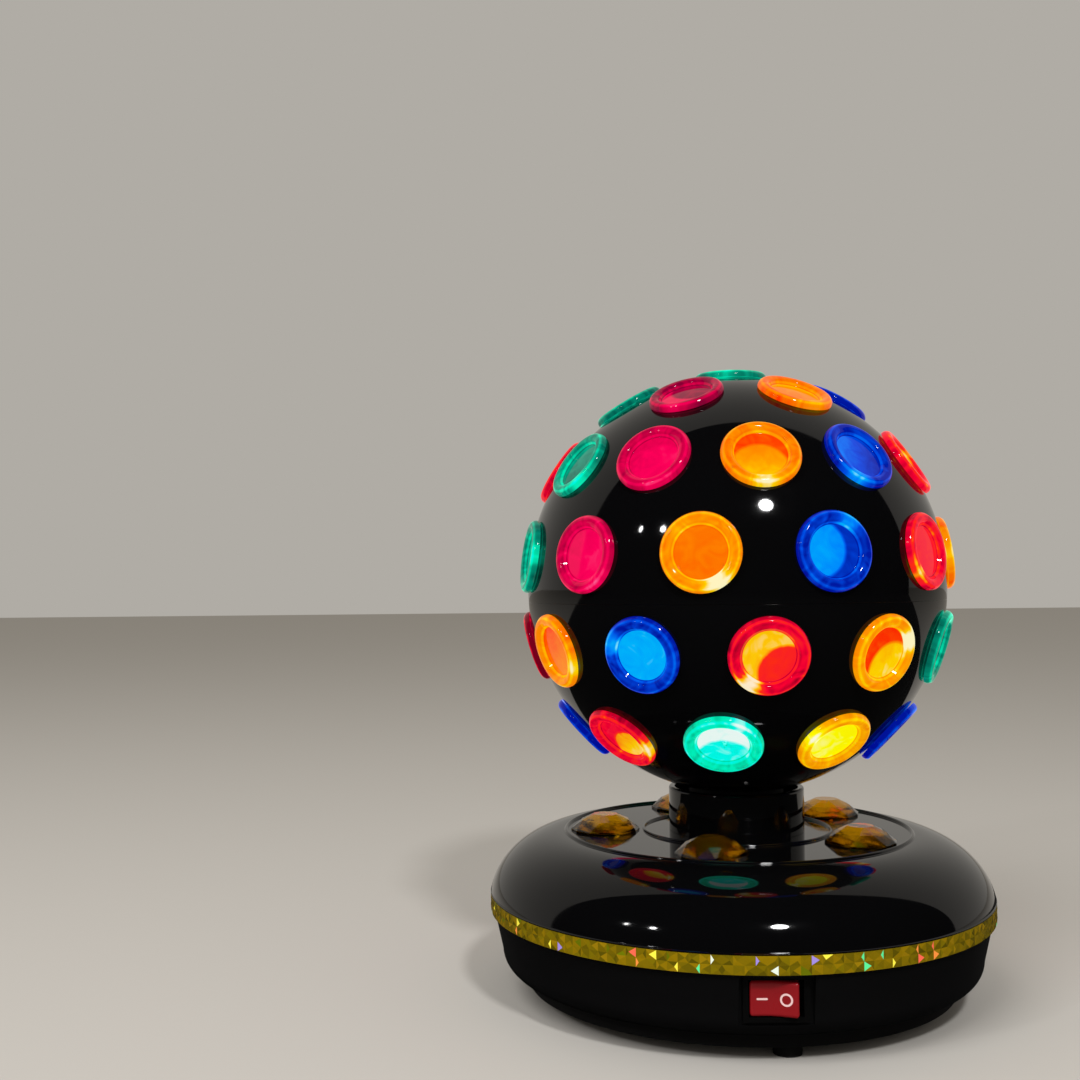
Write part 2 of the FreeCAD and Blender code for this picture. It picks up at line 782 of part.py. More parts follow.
def base_lower_shell():
    """Bowl with a lip into the skirt, the switch pocket in front and the cord inlet behind."""
    outer = lower_outline(False)
    lip_radius = skirt_radius - base_wall - shell_gap
    lip = tube(
        lip_radius,
        lip_radius - shell_lip_wall,
        lower_shell_top_height - shell_lip_height,
        skirt_bottom_height + shell_lip_height,
    )
    front, front_opening = pocket(
        switch_pocket_width,
        switch_pocket_height,
        switch_pocket_floor,
        switch_pocket_centre_height,
        -1,
    )
    back, back_opening = pocket(
        inlet_pocket_width, inlet_pocket_height, inlet_pocket_floor, inlet_height, 1
    )
    shell = fused([lower_outline(True), lip, front.common(outer), back.common(outer)])
    shell = shell.cut(front_opening).cut(back_opening)
    cutout = block(
        switch_body_width + 2 * switch_cutout_clearance,
        2 * pocket_reach,
        switch_body_height + 2 * switch_cutout_clearance,
        Vector(0, -switch_pocket_floor, switch_height),
    )
    inlet_start = Vector(0, inlet_pocket_floor - pocket_reach, inlet_height)
    inlet = Part.makeCylinder(inlet_hole_radius, 2 * pocket_reach, inlet_start, Vector(0, 1, 0))
    shell = shell.cut(cutout).cut(inlet)
    for point in ring_points(pillar_ring_radius, pillar_count, pillar_azimuth):
        hole = post(base_screw_hole_radius, plinth_top_height - cut, lower_shell_floor_height + cut, point)
        shell = shell.cut(hole)
    return shell


def bottom_cover():
    """Plinth tray that closes the base, with screw bosses, foot holes, vents and the post's hole."""
    tray = turned([
        (post_radius, foot_height),
        (plinth_radius, foot_height),
        (plinth_radius, plinth_top_height),
        (plinth_radius - base_wall, plinth_top_height),
        (plinth_radius - base_wall, plate_top_height),
        (post_radius, plate_top_height),
    ])
    points = ring_points(pillar_ring_radius, pillar_count, pillar_azimuth)
    head_room = base_screw_head_radius + counterbore_clearance
    boss_radius = head_room + counterbore_wall
    bosses = [post(boss_radius, foot_height, plinth_top_height, point) for point in points]
    tray = fused([tray] + bosses)
    for point in points:
        tray = tray.cut(post(head_room, foot_height - cut, foot_height + counterbore_depth, point))
        tray = tray.cut(post(base_screw_hole_radius, foot_height, plinth_top_height + cut, point))
    for point in ring_points(foot_ring_radius, foot_count, foot_azimuth):
        tray = tray.cut(post(foot_stem_radius, foot_height - cut, plate_top_height + cut, point))
    slot = block(vent_width, vent_length, 2 * base_wall, Vector(0, 0, 0))
    for i in range(vent_count):
        vent = slot.copy()
        vent.translate(Vector(0, pillar_ring_radius * vent_ring_share, foot_height + base_wall / 2))
        vent.rotate(Vector(0, 0, 0), Vector(0, 0, 1), 360.0 * i / vent_count)
        tray = tray.cut(vent)
    return tray


def rubber_feet():
    """Round feet with stems pushed through the plinth's floor."""
    feet = []
    for point in ring_points(foot_ring_radius, foot_count, foot_azimuth):
        pad = post(foot_radius, 0, foot_height, point)
        stem = post(foot_stem_radius, foot_height, plate_top_height, point)
        feet.append(fused([pad, stem]))
    return feet


def lamp_post():
    """Hollow post from the plinth to the lamp holder, through the hub's bore."""
    bore = post_radius - post_wall
    flange_bottom = foot_height - post_flange_thickness
    return turned([
        (bore, flange_bottom),
        (post_radius + post_flange_reach, flange_bottom),
        (post_radius + post_flange_reach, foot_height),
        (post_radius, foot_height),
        (post_radius, holder_base_height + holder_floor),
        (bore, holder_base_height + holder_floor),
    ])


def post_nuts():
    """Hexagon nuts that clamp the post to the plinth and the holder to the post."""
    nuts = []
    for bottom in (plate_top_height, holder_base_height - nut_thickness):
        corner = 2 * (post_radius + nut_wall) / math.sqrt(3)
        turns = [math.radians(60 * i) for i in range(6)]
        points = [Vector(corner * math.cos(a), corner * math.sin(a), bottom) for a in turns]
        nut = Part.Face(Part.makePolygon(points + points[:1])).extrude(Vector(0, 0, nut_thickness))
        nuts.append(nut.cut(post(post_radius, bottom - cut, bottom + nut_thickness + cut)))
    return nuts


def lamp_holder():
    """Plastic holder with a hole for the post below and a socket for the lamp cap above."""
    floor_top = holder_base_height + holder_floor + lamp_cap_gap
    socket_radius = lamp_cap_radius + lamp_cap_clearance
    return turned([
        (post_radius, holder_base_height),
        (holder_radius, holder_base_height),
        (holder_radius, holder_top_height),
        (socket_radius, holder_top_height),
        (socket_radius, floor_top),
        (post_radius, floor_top),
    ])


def lamp_cap():
    """Brass screw cap of the lamp, standing on the holder's floor."""
    bottom = holder_base_height + holder_floor + lamp_cap_gap
    return post(lamp_cap_radius, bottom, holder_top_height)


def lamp_bulb():
    """Round glass bulb whose globe is centred in the ball."""
    lowest = -math.degrees(math.acos(bulb_shoulder_share))
    globe = belts(bulb_radius, ball_centre_height, lowest, bulb_belts)
    base_radius = lamp_cap_radius + bulb_neck_step
    return turned([(0, holder_top_height), (base_radius, holder_top_height)] + globe)


def switch_body():
    """Switch housing: bezel in the pocket, hollow body behind, holes for the rocker's pins."""
    face = Vector(0, -switch_pocket_floor - bezel_thickness, switch_height)
    bezel_middle = face + Vector(0, bezel_thickness / 2, 0)
    bezel = block(bezel_width, bezel_thickness, bezel_height, bezel_middle)
    body_middle = face + Vector(0, bezel_thickness + switch_body_depth / 2, 0)
    body = block(switch_body_width, switch_body_depth, switch_body_height, body_middle)
    hollow = block(
        rocker_width + 2 * rocker_end_clearance,
        2 * switch_hollow_depth,
        rocker_height + 2 * rocker_side_clearance,
        face,
    )
    pin_length = rocker_height + 2 * (rocker_side_clearance + rocker_pin_reach)
    pin_start = Vector(0, pivot_y, switch_height - pin_length / 2)
    pins = Part.makeCylinder(rocker_pin_radius + rocker_pin_clearance, pin_length, pin_start)
    return fused([bezel, body]).cut(hollow).cut(pins)


def switch_rocker():
    """Rocker with a crown face on each side of its pivot, a keel below and a pin at each side.

    It is drawn level, then tilted to ON, with its left half pressed."""
    half = rocker_width / 2
    keel = rocker_keel_width / 2
    edge = rocker_crown_height
    valley = edge - half * math.tan(math.radians(rocker_tilt))
    outline = [
        (-half, rocker_plate_bottom),
        (-keel, rocker_plate_bottom),
        (-keel, -rocker_keel_depth),
        (keel, -rocker_keel_depth),
        (keel, rocker_plate_bottom),
        (half, rocker_plate_bottom),
        (half, edge),
        (0, valley),
        (-half, edge),
    ]
    bottom = switch_height - rocker_height / 2
    corners = [Vector(across, pivot_y - out, bottom) for across, out in outline]
    face = Part.Face(Part.makePolygon(corners + corners[:1]))
    body = face.extrude(Vector(0, 0, rocker_height))
    pin_reach = rocker_side_clearance + rocker_pin_reach - rocker_pin_clearance
    pin_length = rocker_height + 2 * pin_reach
    pin_start = Vector(0, pivot_y, switch_height - pin_length / 2)
    rocker = fused([body, Part.makeCylinder(rocker_pin_radius, pin_length, pin_start)])
    rocker.rotate(Vector(0, pivot_y, switch_height), Vector(0, 0, 1), -rocker_tilt)
    return rocker


def switch_terminals():
    """Two spade terminals at the back of the switch."""
    back = -switch_pocket_floor + switch_body_depth
    spades = []
    for side in (-1, 1):
        across = side * (switch_body_width / 2 - terminal_inset)
        middle = Vector(across, back + terminal_length / 2, switch_height)
        spades.append(block(terminal_thickness, terminal_length, terminal_width, middle))
    return spades


def cord_grommet():
    """Rubber bush in the cord inlet, a flange on each side of the pocket's floor."""
    inner_face = inlet_pocket_floor - pocket_wall
    points = [
        (grommet_bore_radius, inner_face - grommet_flange_thickness),
        (grommet_flange_radius, inner_face - grommet_flange_thickness),
        (grommet_flange_radius, inner_face),
        (inlet_hole_radius, inner_face),
        (inlet_hole_radius, inlet_pocket_floor),
        (grommet_flange_radius, inlet_pocket_floor),
        (grommet_flange_radius, inlet_pocket_floor + grommet_flange_thickness),
        (grommet_bore_radius, inlet_pocket_floor + grommet_flange_thickness),
    ]
    bush = turned(points)
    bush.rotate(Vector(0, 0, 0), Vector(1, 0, 0), -90)
    bush.translate(Vector(0, 0, inlet_height))
    return bush


def export_ball():
    """The turning body: shells, lenses, hub, ring gear, clip and screws."""
    upper, lower = ball_shells()
    export("ball_upper_shell", upper)
    export("ball_lower_shell", lower)
    for colour, lenses in lens_groups().items():
        export(colour + "_lenses", *lenses)
    export("ball_hub", ball_hub())
    export("ring_gear", ring_gear())
    export("retaining_ring", retaining_ring())
    points = ring_points(hub_screw_ring_radius, hub_screw_count, 0)
    seat = ball_floor_height + ball_floor_thickness
    length = ball_floor_thickness + hub_flange_thickness
    head = (small_screw_radius, small_screw_head_radius, small_screw_head_height)
    export("hub_screws", *screws(points, seat, *head, length, False))


def export_drive():
    """Motor, shaft, pinion and the bearing that the hub turns in."""
    export("drive_pinion", drive_pinion())
    export("motor_shaft", motor_shaft())
    export("gear_motor", gear_motor())
    seat = motor_top_height - motor_ear_thickness
    head = (base_screw_radius, base_screw_head_radius, base_screw_head_height)
    export("motor_screws", *screws(motor_ear_points(), seat, *head, small_screw_length, True))
    export("bearing_sleeve", bearing_sleeve())
    washer = tube(washer_outer_radius, washer_inner_radius, sleeve_top_height, washer_top_height)
    export("thrust_washer", washer)


def export_base():
    """Housings, trim, feet and their screws."""
    export("base_top_cover", base_top_cover())
    export("neck_collar", neck_collar())
    points = ring_points(neck_boss_ring_radius, neck_boss_count, neck_boss_azimuth)
    head = (small_screw_radius, small_screw_head_radius, small_screw_head_height)
    export("neck_screws", *screws(points, deck_underside_height, *head, small_screw_length, True))
    places = ring_points(jewel_ring_radius, jewel_count, jewel_azimuth, deck_height)
    export("deck_jewels", *[jewel(place) for place in places])
    tape_bottom = skirt_bottom_height + tape_edge_gap
    tape_top = skirt_top_height - tape_edge_gap
    export("gold_band", tube(skirt_radius + tape_thickness, skirt_radius, tape_bottom, tape_top))
    export("base_lower_shell", base_lower_shell())
    export("bottom_cover", bottom_cover())
    points = ring_points(pillar_ring_radius, pillar_count, pillar_azimuth)
    seat = foot_height + counterbore_depth
    head = (base_screw_radius, base_screw_head_radius, base_screw_head_height)
    export("base_screws", *screws(points, seat, *head, base_screw_length, True))
    export("rubber_feet", *rubber_feet())


def export_electrics():
    """Lamp, its post and holder, the rocker switch and the cord inlet."""
    export("lamp_post", lamp_post())
    export("post_nuts", *post_nuts())
    export("lamp_holder", lamp_holder())
    export("lamp_cap", lamp_cap())
    export("lamp_bulb", lamp_bulb())
    export("switch_body", switch_body())
    export("switch_rocker", switch_rocker())
    export("switch_terminals", *switch_terminals())
    export("cord_grommet", cord_grommet())


os.makedirs("parts", exist_ok=True)
export_ball()
export_drive()
export_base()
export_electrics()
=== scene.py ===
# %% [markdown]
# # A rotating disco light
#
# A glossy black ball, studded with round coloured lenses, turns on a round base with a gold
# band, five amber stones and a red rocker switch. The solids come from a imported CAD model.
# This notebook loads them as a fixed frame, puts smoother and richer surfaces on what shows,
# and gives everything a material.

# %% Load the frame
import math
import bpy
import bmesh
import numpy as np
from mathutils import Matrix, Vector


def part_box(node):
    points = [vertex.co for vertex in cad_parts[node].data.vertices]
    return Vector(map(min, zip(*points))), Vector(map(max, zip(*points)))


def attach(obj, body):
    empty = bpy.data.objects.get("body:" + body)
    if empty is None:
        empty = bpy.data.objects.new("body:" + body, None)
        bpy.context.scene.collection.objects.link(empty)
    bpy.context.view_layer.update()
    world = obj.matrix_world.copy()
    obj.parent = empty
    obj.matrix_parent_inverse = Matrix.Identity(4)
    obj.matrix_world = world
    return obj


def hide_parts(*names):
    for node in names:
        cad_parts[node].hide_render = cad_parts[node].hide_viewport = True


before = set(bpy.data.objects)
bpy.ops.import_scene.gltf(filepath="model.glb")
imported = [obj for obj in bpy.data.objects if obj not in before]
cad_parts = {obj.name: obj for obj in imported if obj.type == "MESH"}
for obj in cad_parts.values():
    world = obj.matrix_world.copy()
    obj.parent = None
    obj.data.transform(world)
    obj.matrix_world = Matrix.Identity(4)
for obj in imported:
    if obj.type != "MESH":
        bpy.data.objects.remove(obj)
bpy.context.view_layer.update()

# %% [markdown]
# ## Sizes
#
# The same driving sizes as the CAD, in millimetres, with `MM` to turn them into metres. A few
# of them are read back from the frame, to be sure that both models agree.

# %% Driving sizes
MM = 0.001
BALL_RADIUS = 88.0 * MM
BALL_WALL = 2.2 * MM
LENS_RADIUS = 15.3 * MM
LENS_HOLE_RADIUS = 10.4 * MM
LENS_SEAT = math.sqrt(BALL_RADIUS ** 2 - LENS_HOLE_RADIUS ** 2)
BALL_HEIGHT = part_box("ball_upper_shell")[1].z - LENS_SEAT
CENTRE = np.array([0.0, 0.0, BALL_HEIGHT])
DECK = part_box("neck_collar")[0].z
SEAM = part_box("ball_upper_shell")[0].z
print("deck at", round(DECK / MM, 2), "mm, seam at", round(SEAM / MM, 2), "mm")

# %% [markdown]
# ## The camera
#
# The photograph was taken from the height of the ball's middle, a little to the left of the
# switch and a little over half a metre away. A camera in Blender looks along its own -Z axis,
# so its matrix is built from three directions: right, up and backwards. The focal length in
# pixels becomes a lens length through the sensor's width. The Standard view shows each colour
# as it is worked out, with no film curve over it.

# %% Camera
IMAGE_SIDE = 1080
FOCAL_PIXELS = 1351.3
SENSOR = 36.0
CAMERA_DISTANCE = 585.5 * MM
CAMERA_HEIGHT = 175.2 * MM
CAMERA_AZIMUTH = math.radians(-7.6)
CAMERA_YAW = math.radians(-0.51)
CAMERA_PITCH = math.radians(1.55)
CAMERA_ROLL = math.radians(-0.57)
CAMERA_NEAR = 10 * MM


def camera_axes(yaw, pitch, roll):
    """Right, up and forward of a camera: forward is +Y turned by yaw about -Z and raised by
    pitch, and right and up are then rolled about it."""
    level = math.cos(pitch)
    forward = Vector((math.sin(yaw) * level, math.cos(yaw) * level, math.sin(pitch)))
    right = Vector((math.cos(yaw), -math.sin(yaw), 0))
    up = right.cross(forward)
    rolled_right = right * math.cos(roll) + up * math.sin(roll)
    rolled_up = up * math.cos(roll) - right * math.sin(roll)
    return rolled_right, rolled_up, forward


def linked(name, data):
    """A new object in the scene, made of a mesh, a camera or a light."""
    obj = bpy.data.objects.new(name, data)
    bpy.context.scene.collection.objects.link(obj)
    return obj


right, up, forward = camera_axes(CAMERA_YAW, CAMERA_PITCH, CAMERA_ROLL)
eye = Vector((
    CAMERA_DISTANCE * math.sin(CAMERA_AZIMUTH),
    -CAMERA_DISTANCE * math.cos(CAMERA_AZIMUTH),
    CAMERA_HEIGHT,
))
camera = linked("camera", bpy.data.cameras.new("camera"))
camera.data.sensor_width = SENSOR
camera.data.lens = FOCAL_PIXELS / IMAGE_SIDE * SENSOR
camera.data.clip_start = CAMERA_NEAR
camera.matrix_world = Matrix.Translation(eye) @ Matrix((right, up, -forward)).transposed().to_4x4()
bpy.context.scene.camera = camera
bpy.context.scene.view_settings.view_transform = "Standard"
print("lens", round(camera.data.lens, 2), "mm, eye", [round(c, 4) for c in eye])

# %% [markdown]
# ## Colours and nodes
#
# Colours are written as the hex values that a screen shows. Blender mixes light in linear
# values, so one function converts them. A second one adds a shader node with its settings and
# links, and uses a third that fills any node's inputs. That keeps a material to a few lines.

# %% Colour and node helpers


def linear(hex_colour):
    """Linear RGBA of an sRGB hex colour: c / 12.92 below 0.04045, else ((c + 0.055) / 1.055) ** 2.4."""
    value = np.array([int(hex_colour[i:i + 2], 16) for i in (1, 3, 5)]) / 255
    rgb = np.where(value <= 0.04045, value / 12.92, ((value + 0.055) / 1.055) ** 2.4)
    return (*rgb.tolist(), 1.0)


def feed(tree, node, inputs):
    """Gives each named input of a node a value, or a link from another node's output."""
    for name, value in inputs.items():
        if isinstance(value, bpy.types.NodeSocket):
            tree.links.new(value, node.inputs[name])
        else:
            node.inputs[name].default_value = value


def add(tree, kind, inputs=None, **settings):
    """Adds one node. Settings are its own properties, and inputs go to `feed`."""
    node = tree.nodes.new(kind)
    for name, value in settings.items():
        setattr(node, name, value)
    feed(tree, node, inputs or {})
    return node


def material(name):
    """A new material with only a Principled BSDF and its output."""
    made = bpy.data.materials.new(name)
    made.use_nodes = True
    tree = made.node_tree
    return made, tree, tree.nodes["Principled BSDF"]


def stops(ramp, *pairs):
    """Sets a colour ramp's stops from pairs of a position and a colour or a grey value."""
    elements = ramp.color_ramp.elements
    while len(elements) < len(pairs):
        elements.new(1.0)
    for element, (position, value) in zip(elements, pairs):
        element.position = position
        element.color = value if isinstance(value, tuple) else (value, value, value, 1.0)
    return ramp.outputs["Color"]


# %% [markdown]
# ## Surfaces from numpy
#
# Every new piece is a grid of points worked out with numpy: rows run along a profile and
# columns run round it. One function turns any stack of such grids into a mesh. It joins the
# points that fall together, as at a pole, and points all faces outwards.

# %% Mesh helpers
SAME_POINT = 0.002 * MM
NO_EDGE = 0.001 * MM


def grid_mesh(name, points, body, wrap_rows=True):
    """A mesh object from points of shape (pieces, rows, columns, 3). Neighbours in a grid make
    quads. The last column joins the first, and so does the last row where rows wrap."""
    pieces, rows, columns = points.shape[:3]
    row = np.arange(rows if wrap_rows else rows - 1)
    r, c = np.meshgrid(row, np.arange(columns), indexing="ij")
    r2, c2 = (r + 1) % rows, (c + 1) % columns
    quad = np.stack([r * columns + c, r * columns + c2, r2 * columns + c2, r2 * columns + c], -1)
    first = np.arange(pieces)[:, None, None] * rows * columns
    faces = (quad.reshape(1, -1, 4) + first).reshape(-1, 4)
    mesh = bpy.data.meshes.new(name)
    mesh.vertices.add(pieces * rows * columns)
    mesh.vertices.foreach_set("co", points.reshape(-1).astype(np.float32))
    mesh.loops.add(faces.size)
    mesh.loops.foreach_set("vertex_index", faces.reshape(-1).astype(np.int32))
    mesh.polygons.add(len(faces))
    mesh.polygons.foreach_set("loop_start", np.arange(0, faces.size, 4, dtype=np.int32))
    mesh.update(calc_edges=True)
    obj = linked(name, mesh)
    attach(obj, body)
    return obj


def close(obj, smooth=True):
    """Merges points that fall together, turns the faces outwards and sets the shading."""
    mesh = obj.data
    work = bmesh.new()
    work.from_mesh(mesh)
    bmesh.ops.remove_doubles(work, verts=work.verts, dist=SAME_POINT)
    bmesh.ops.dissolve_degenerate(work, edges=work.edges, dist=NO_EDGE)
    bmesh.ops.recalc_face_normals(work, faces=work.faces)
    work.to_mesh(mesh)
    work.free()
    mesh.polygons.foreach_set("use_smooth", np.full(len(mesh.polygons), smooth))
    mesh.update()
    return obj


# %% [markdown]
# ## Outlines
#
# Many of the pieces start as a flat outline. Its corners are rounded, as they are on anything
# moulded. Smooth shading bends light across a whole face, so a long flat side would look
# bulged: a point close to each of its ends keeps the bend there. A profile is then turned
# round the Z axis, as on a lathe.

# %% Outline helpers
LONG_SIDE = 3.0 * MM
HOLD = 0.12 * MM
SAME_PLACE = 0.0001 * MM


def fillet(corners, radii, steps=5):
    """Rounds a closed outline. Each corner b between a and c becomes the curve
    (1-t)^2 p + 2t(1-t) b + t^2 q, where p and q lie one radius from b towards a and c."""
    b = np.array(corners, float) * MM
    d = np.broadcast_to(np.array(radii, float) * MM, len(b))[:, None]
    a, c = np.roll(b, 1, 0), np.roll(b, -1, 0)
    to_a, to_c = a - b, c - b
    p = b + to_a / np.linalg.norm(to_a, axis=1, keepdims=True) * d
    q = b + to_c / np.linalg.norm(to_c, axis=1, keepdims=True) * d
    t = np.linspace(0, 1, steps)[None, :, None]
    points = (1 - t) ** 2 * p[:, None] + 2 * t * (1 - t) * b[:, None] + t ** 2 * q[:, None]
    return points.reshape(-1, 2)


def distinct(outline):
    """A closed outline without the points that fall on the one before them."""
    return outline[np.linalg.norm(outline - np.roll(outline, 1, 0), axis=1) > SAME_PLACE]


def held(outline):
    """Adds a point close to both ends of each long side, so that smooth shading keeps it flat."""
    ahead = np.roll(outline, -1, 0) - outline
    length = np.linalg.norm(ahead, axis=1, keepdims=True)
    step = ahead / np.maximum(length, HOLD) * HOLD
    filled = np.stack([outline, outline + step, outline + ahead - step], 1)
    keep = np.ones(filled.shape[:2], bool)
    keep[:, 1:] = length > LONG_SIDE
    return filled[keep]


def turned(name, profile, body, sides=256):
    """A closed profile of (radius, height) carried round the Z axis in a circle."""
    profile = held(profile)
    turn = np.linspace(0, 2 * np.pi, sides, endpoint=False)
    r, z = profile[:, :1], profile[:, 1:]
    points = np.stack([r * np.cos(turn), r * np.sin(turn), z + 0 * turn], -1)
    obj = close(grid_mesh(name, points[None], body))
    print(name, len(obj.data.polygons), "faces")
    return obj


def arc(centre_r, centre_z, reach_r, reach_z, start, end, count):
    """Points of an ellipse: centre plus reach times the cosine and sine of an angle in degrees."""
    angle = np.radians(np.linspace(start, end, count))
    return np.stack([centre_r + reach_r * np.cos(angle), centre_z + reach_z * np.sin(angle)], -1)


# %% [markdown]
# ## Smooth CAD solids
#
# The CAD pieces arrive as loose triangles. A small geometry node group joins them and shades
# everything smooth except where two faces meet at more than 30 degrees. It changes only what
# is drawn, not the solid itself.

# %% Smoothing for CAD pieces
JOIN_DISTANCE = 0.01 * MM
SHARP_ANGLE = math.radians(30)


def smoothing_group():
    """Merge by Distance, then smooth faces, then sharp edges over the limit angle."""
    tree = bpy.data.node_groups.new("join_and_smooth", "GeometryNodeTree")
    for in_out in ("INPUT", "OUTPUT"):
        tree.interface.new_socket("Geometry", in_out=in_out, socket_type="NodeSocketGeometry")
    start = add(tree, "NodeGroupInput")
    joined = add(
        tree, "GeometryNodeMergeByDistance",
        {"Geometry": start.outputs[0], "Distance": JOIN_DISTANCE},
    )
    faces = add(tree, "GeometryNodeSetShadeSmooth", {"Geometry": joined.outputs[0]}, domain="FACE")
    angle = add(tree, "GeometryNodeInputMeshEdgeAngle")
    sharp = add(
        tree, "FunctionNodeCompare", {0: angle.outputs[0], 1: SHARP_ANGLE},
        operation="GREATER_THAN",
    )
    edges = add(
        tree, "GeometryNodeSetShadeSmooth",
        {"Geometry": faces.outputs[0], "Selection": sharp.outputs[0], "Shade Smooth": False},
        domain="EDGE",
    )
    add(tree, "NodeGroupOutput", {0: edges.outputs[0]})
    return tree


smoothing = smoothing_group()


def finish_node(name, made):
    """Gives a CAD node a material and the smoothing group."""
    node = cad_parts[name]
    node.data.materials.clear()
    node.data.materials.append(made)
    node.modifiers.new("smooth", "NODES").node_group = smoothing


def dress(obj, made, slot, *replaced):
    """Gives a new piece its material, and hides the CAD nodes it stands for. The slot is not used."""
    obj.data.materials.append(made)
    if replaced:
        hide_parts(*replaced)


# %% [markdown]
# ## Black gloss plastic
#
# The ball, the dome and the neck are ABS, moulded in a polished tool: nearly black, and so
# smooth that it mirrors the room. A Principled shader with a very dark base and a low
# roughness does that. The mirror image is kept weaker than the usual level of 0.5, because
# the room in the photograph is darker than a studio. A faint noise in the roughness stands
# for wiping marks. Object coordinates are in metres, so a pattern's scale is one divided by
# the size of its marks.

# %% Black gloss ABS
ABS_IOR = 1.53
GLOSS_LEVEL = 0.34
WIPE_MARK = 16.67 * MM


def gloss_black_abs(name):
    """Polished black ABS: it gives the eye sharp, dim mirror images."""
    made, tree, shader = material(name)
    place = add(tree, "ShaderNodeTexCoord")
    marks = add(tree, "ShaderNodeTexNoise", {
        "Vector": place.outputs["Object"], "Scale": 1 / WIPE_MARK, "Detail": 4.0,
    })
    rough = add(tree, "ShaderNodeMapRange", {
        "Value": marks.outputs["Fac"], "From Min": 0.35, "From Max": 0.75,
        "To Min": 0.03, "To Max": 0.09,
    })
    feed(tree, shader, {
        "Base Color": linear("#060607"), "IOR": ABS_IOR,
        "Specular IOR Level": GLOSS_LEVEL, "Roughness": rough.outputs["Result"],
    })
    return made


black_gloss = gloss_black_abs("abs_black_polished")

# %% [markdown]
# ## The ball
#
# Two mouldings meet at a seam just below the middle, the only belt with no lens on it. Each
# half is a shell with an outer and an inner sphere, and the two stop just short of each other
# at the seam, so that the joint shows as a fine dark line.

# %% Ball shells
BALL_FLOOR = 85.5
FLOOR_THICK = 2.4
FLOOR_HOLE = 11.0
# latitudes in degrees: half the seam's gap, the spacing of the points that hold its edge, and
# how much higher the inner sphere ends at the floor
SEAM_LINE = 0.03
SUPPORT = 0.04
INNER_RISE = 1.5


def ball_arc(radius, start, end, count):
    """Half section of a sphere about the ball's middle, between two latitudes."""
    return arc(0, BALL_HEIGHT, radius, radius, start, end, count)


def latitude_at(height):
    """Latitude of the outer sphere at a height: the angle whose sine is the rise over the radius."""
    return math.degrees(math.asin((height - BALL_HEIGHT) / BALL_RADIUS))


ball_inside = BALL_RADIUS - BALL_WALL
ball_foot = latitude_at(BALL_FLOOR * MM)
upper_edge = latitude_at(SEAM) + SEAM_LINE
lower_edge = latitude_at(SEAM) - SEAM_LINE
upper_profile = np.concatenate([
    ball_arc(BALL_RADIUS, upper_edge, upper_edge + SUPPORT, 3),
    ball_arc(BALL_RADIUS, upper_edge + 2 * SUPPORT, 90, 90),
    ball_arc(ball_inside, 90, upper_edge, 60),
])
lower_profile = np.concatenate([
    ball_arc(BALL_RADIUS, ball_foot, lower_edge - 2 * SUPPORT, 90),
    ball_arc(BALL_RADIUS, lower_edge - SUPPORT, lower_edge, 3),
    ball_arc(ball_inside, lower_edge, ball_foot + INNER_RISE, 60),
    np.array([[FLOOR_HOLE, BALL_FLOOR + FLOOR_THICK], [FLOOR_HOLE, BALL_FLOOR]]) * MM,
])
ball_upper = turned("ball_upper_skin", upper_profile, "ball", 360)
ball_lower = turned("ball_lower_skin", lower_profile, "ball", 360)
dress(ball_upper, black_gloss, "ball_shell", "ball_upper_shell")
dress(ball_lower, black_gloss, "ball_shell", "ball_lower_shell")

# %% [markdown]
# ## Where the lenses sit
#
# There are six rows. Each is a ring of evenly spaced lenses, and every second ring is turned
# by half a pitch. A lens gets three directions of its own: outwards, up along the ball and
# to the right, which carry its flat profile to its place.

# %% Lens places
START_AZIMUTH = -31.6
# latitude in degrees, number of lenses, shift in pitches, place of the first one, colours
ROWS = {
    "A": (90.0, 1, 0.0, 0, "green"),
    "B": (60.4, 6, 0.0, -1, "green magenta orange blue red yellow"),
    "C": (34.1, 11, 0.0, -2, "red green magenta orange blue red green magenta orange blue yellow"),
    "D": (8.2, 11, 0.5, -2, "green magenta orange blue red orange green magenta orange blue red"),
    "E": (-17.0, 11, 0.0, -2, "red orange blue red orange green magenta yellow blue green magenta"),
    "F": (-43.2, 9, 0.5, -2, "blue red green yellow blue red orange green magenta"),
}


def row_places(row):
    """Outward, right and up directions of each lens in a row, from its azimuth and latitude."""
    latitude, count, shift, first, _ = ROWS[row]
    azimuth = np.radians(START_AZIMUTH + 360 / count * (first + np.arange(count) + shift))
    lift = np.radians(latitude)
    flat = np.stack([np.sin(azimuth), -np.cos(azimuth), 0 * azimuth], -1)
    side = np.stack([np.cos(azimuth), np.sin(azimuth), 0 * azimuth], -1)
    high = np.array([0, 0, 1.0])
    out = flat * np.cos(lift) + high * np.sin(lift)
    rise = high * np.cos(lift) - flat * np.sin(lift)
    return out, side, rise


lens_out, lens_side, lens_rise = (
    np.concatenate(directions) for directions in zip(*(row_places(row) for row in ROWS))
)
lens_names = [
    (row, number, colour)
    for row, (*_, colours) in ROWS.items()
    for number, colour in enumerate(colours.split())
]
print(len(lens_names), "lenses in", len(ROWS), "rows")

# %% [markdown]
# ## How each lens is lit
#
# The lamp inside throws its light unevenly, so no two lenses look alike. Each window has a
# brightness that may lean to one side and may hold a crescent, where the edge of the hole or
# the lamp shows through, and each rim has a gleam at one angle and a weaker one opposite.
# Angles are seen from outside, with 0 to the right and 90 up. The table holds what the
# photograph shows, and the lenses it does not show get values that vary in the same range.

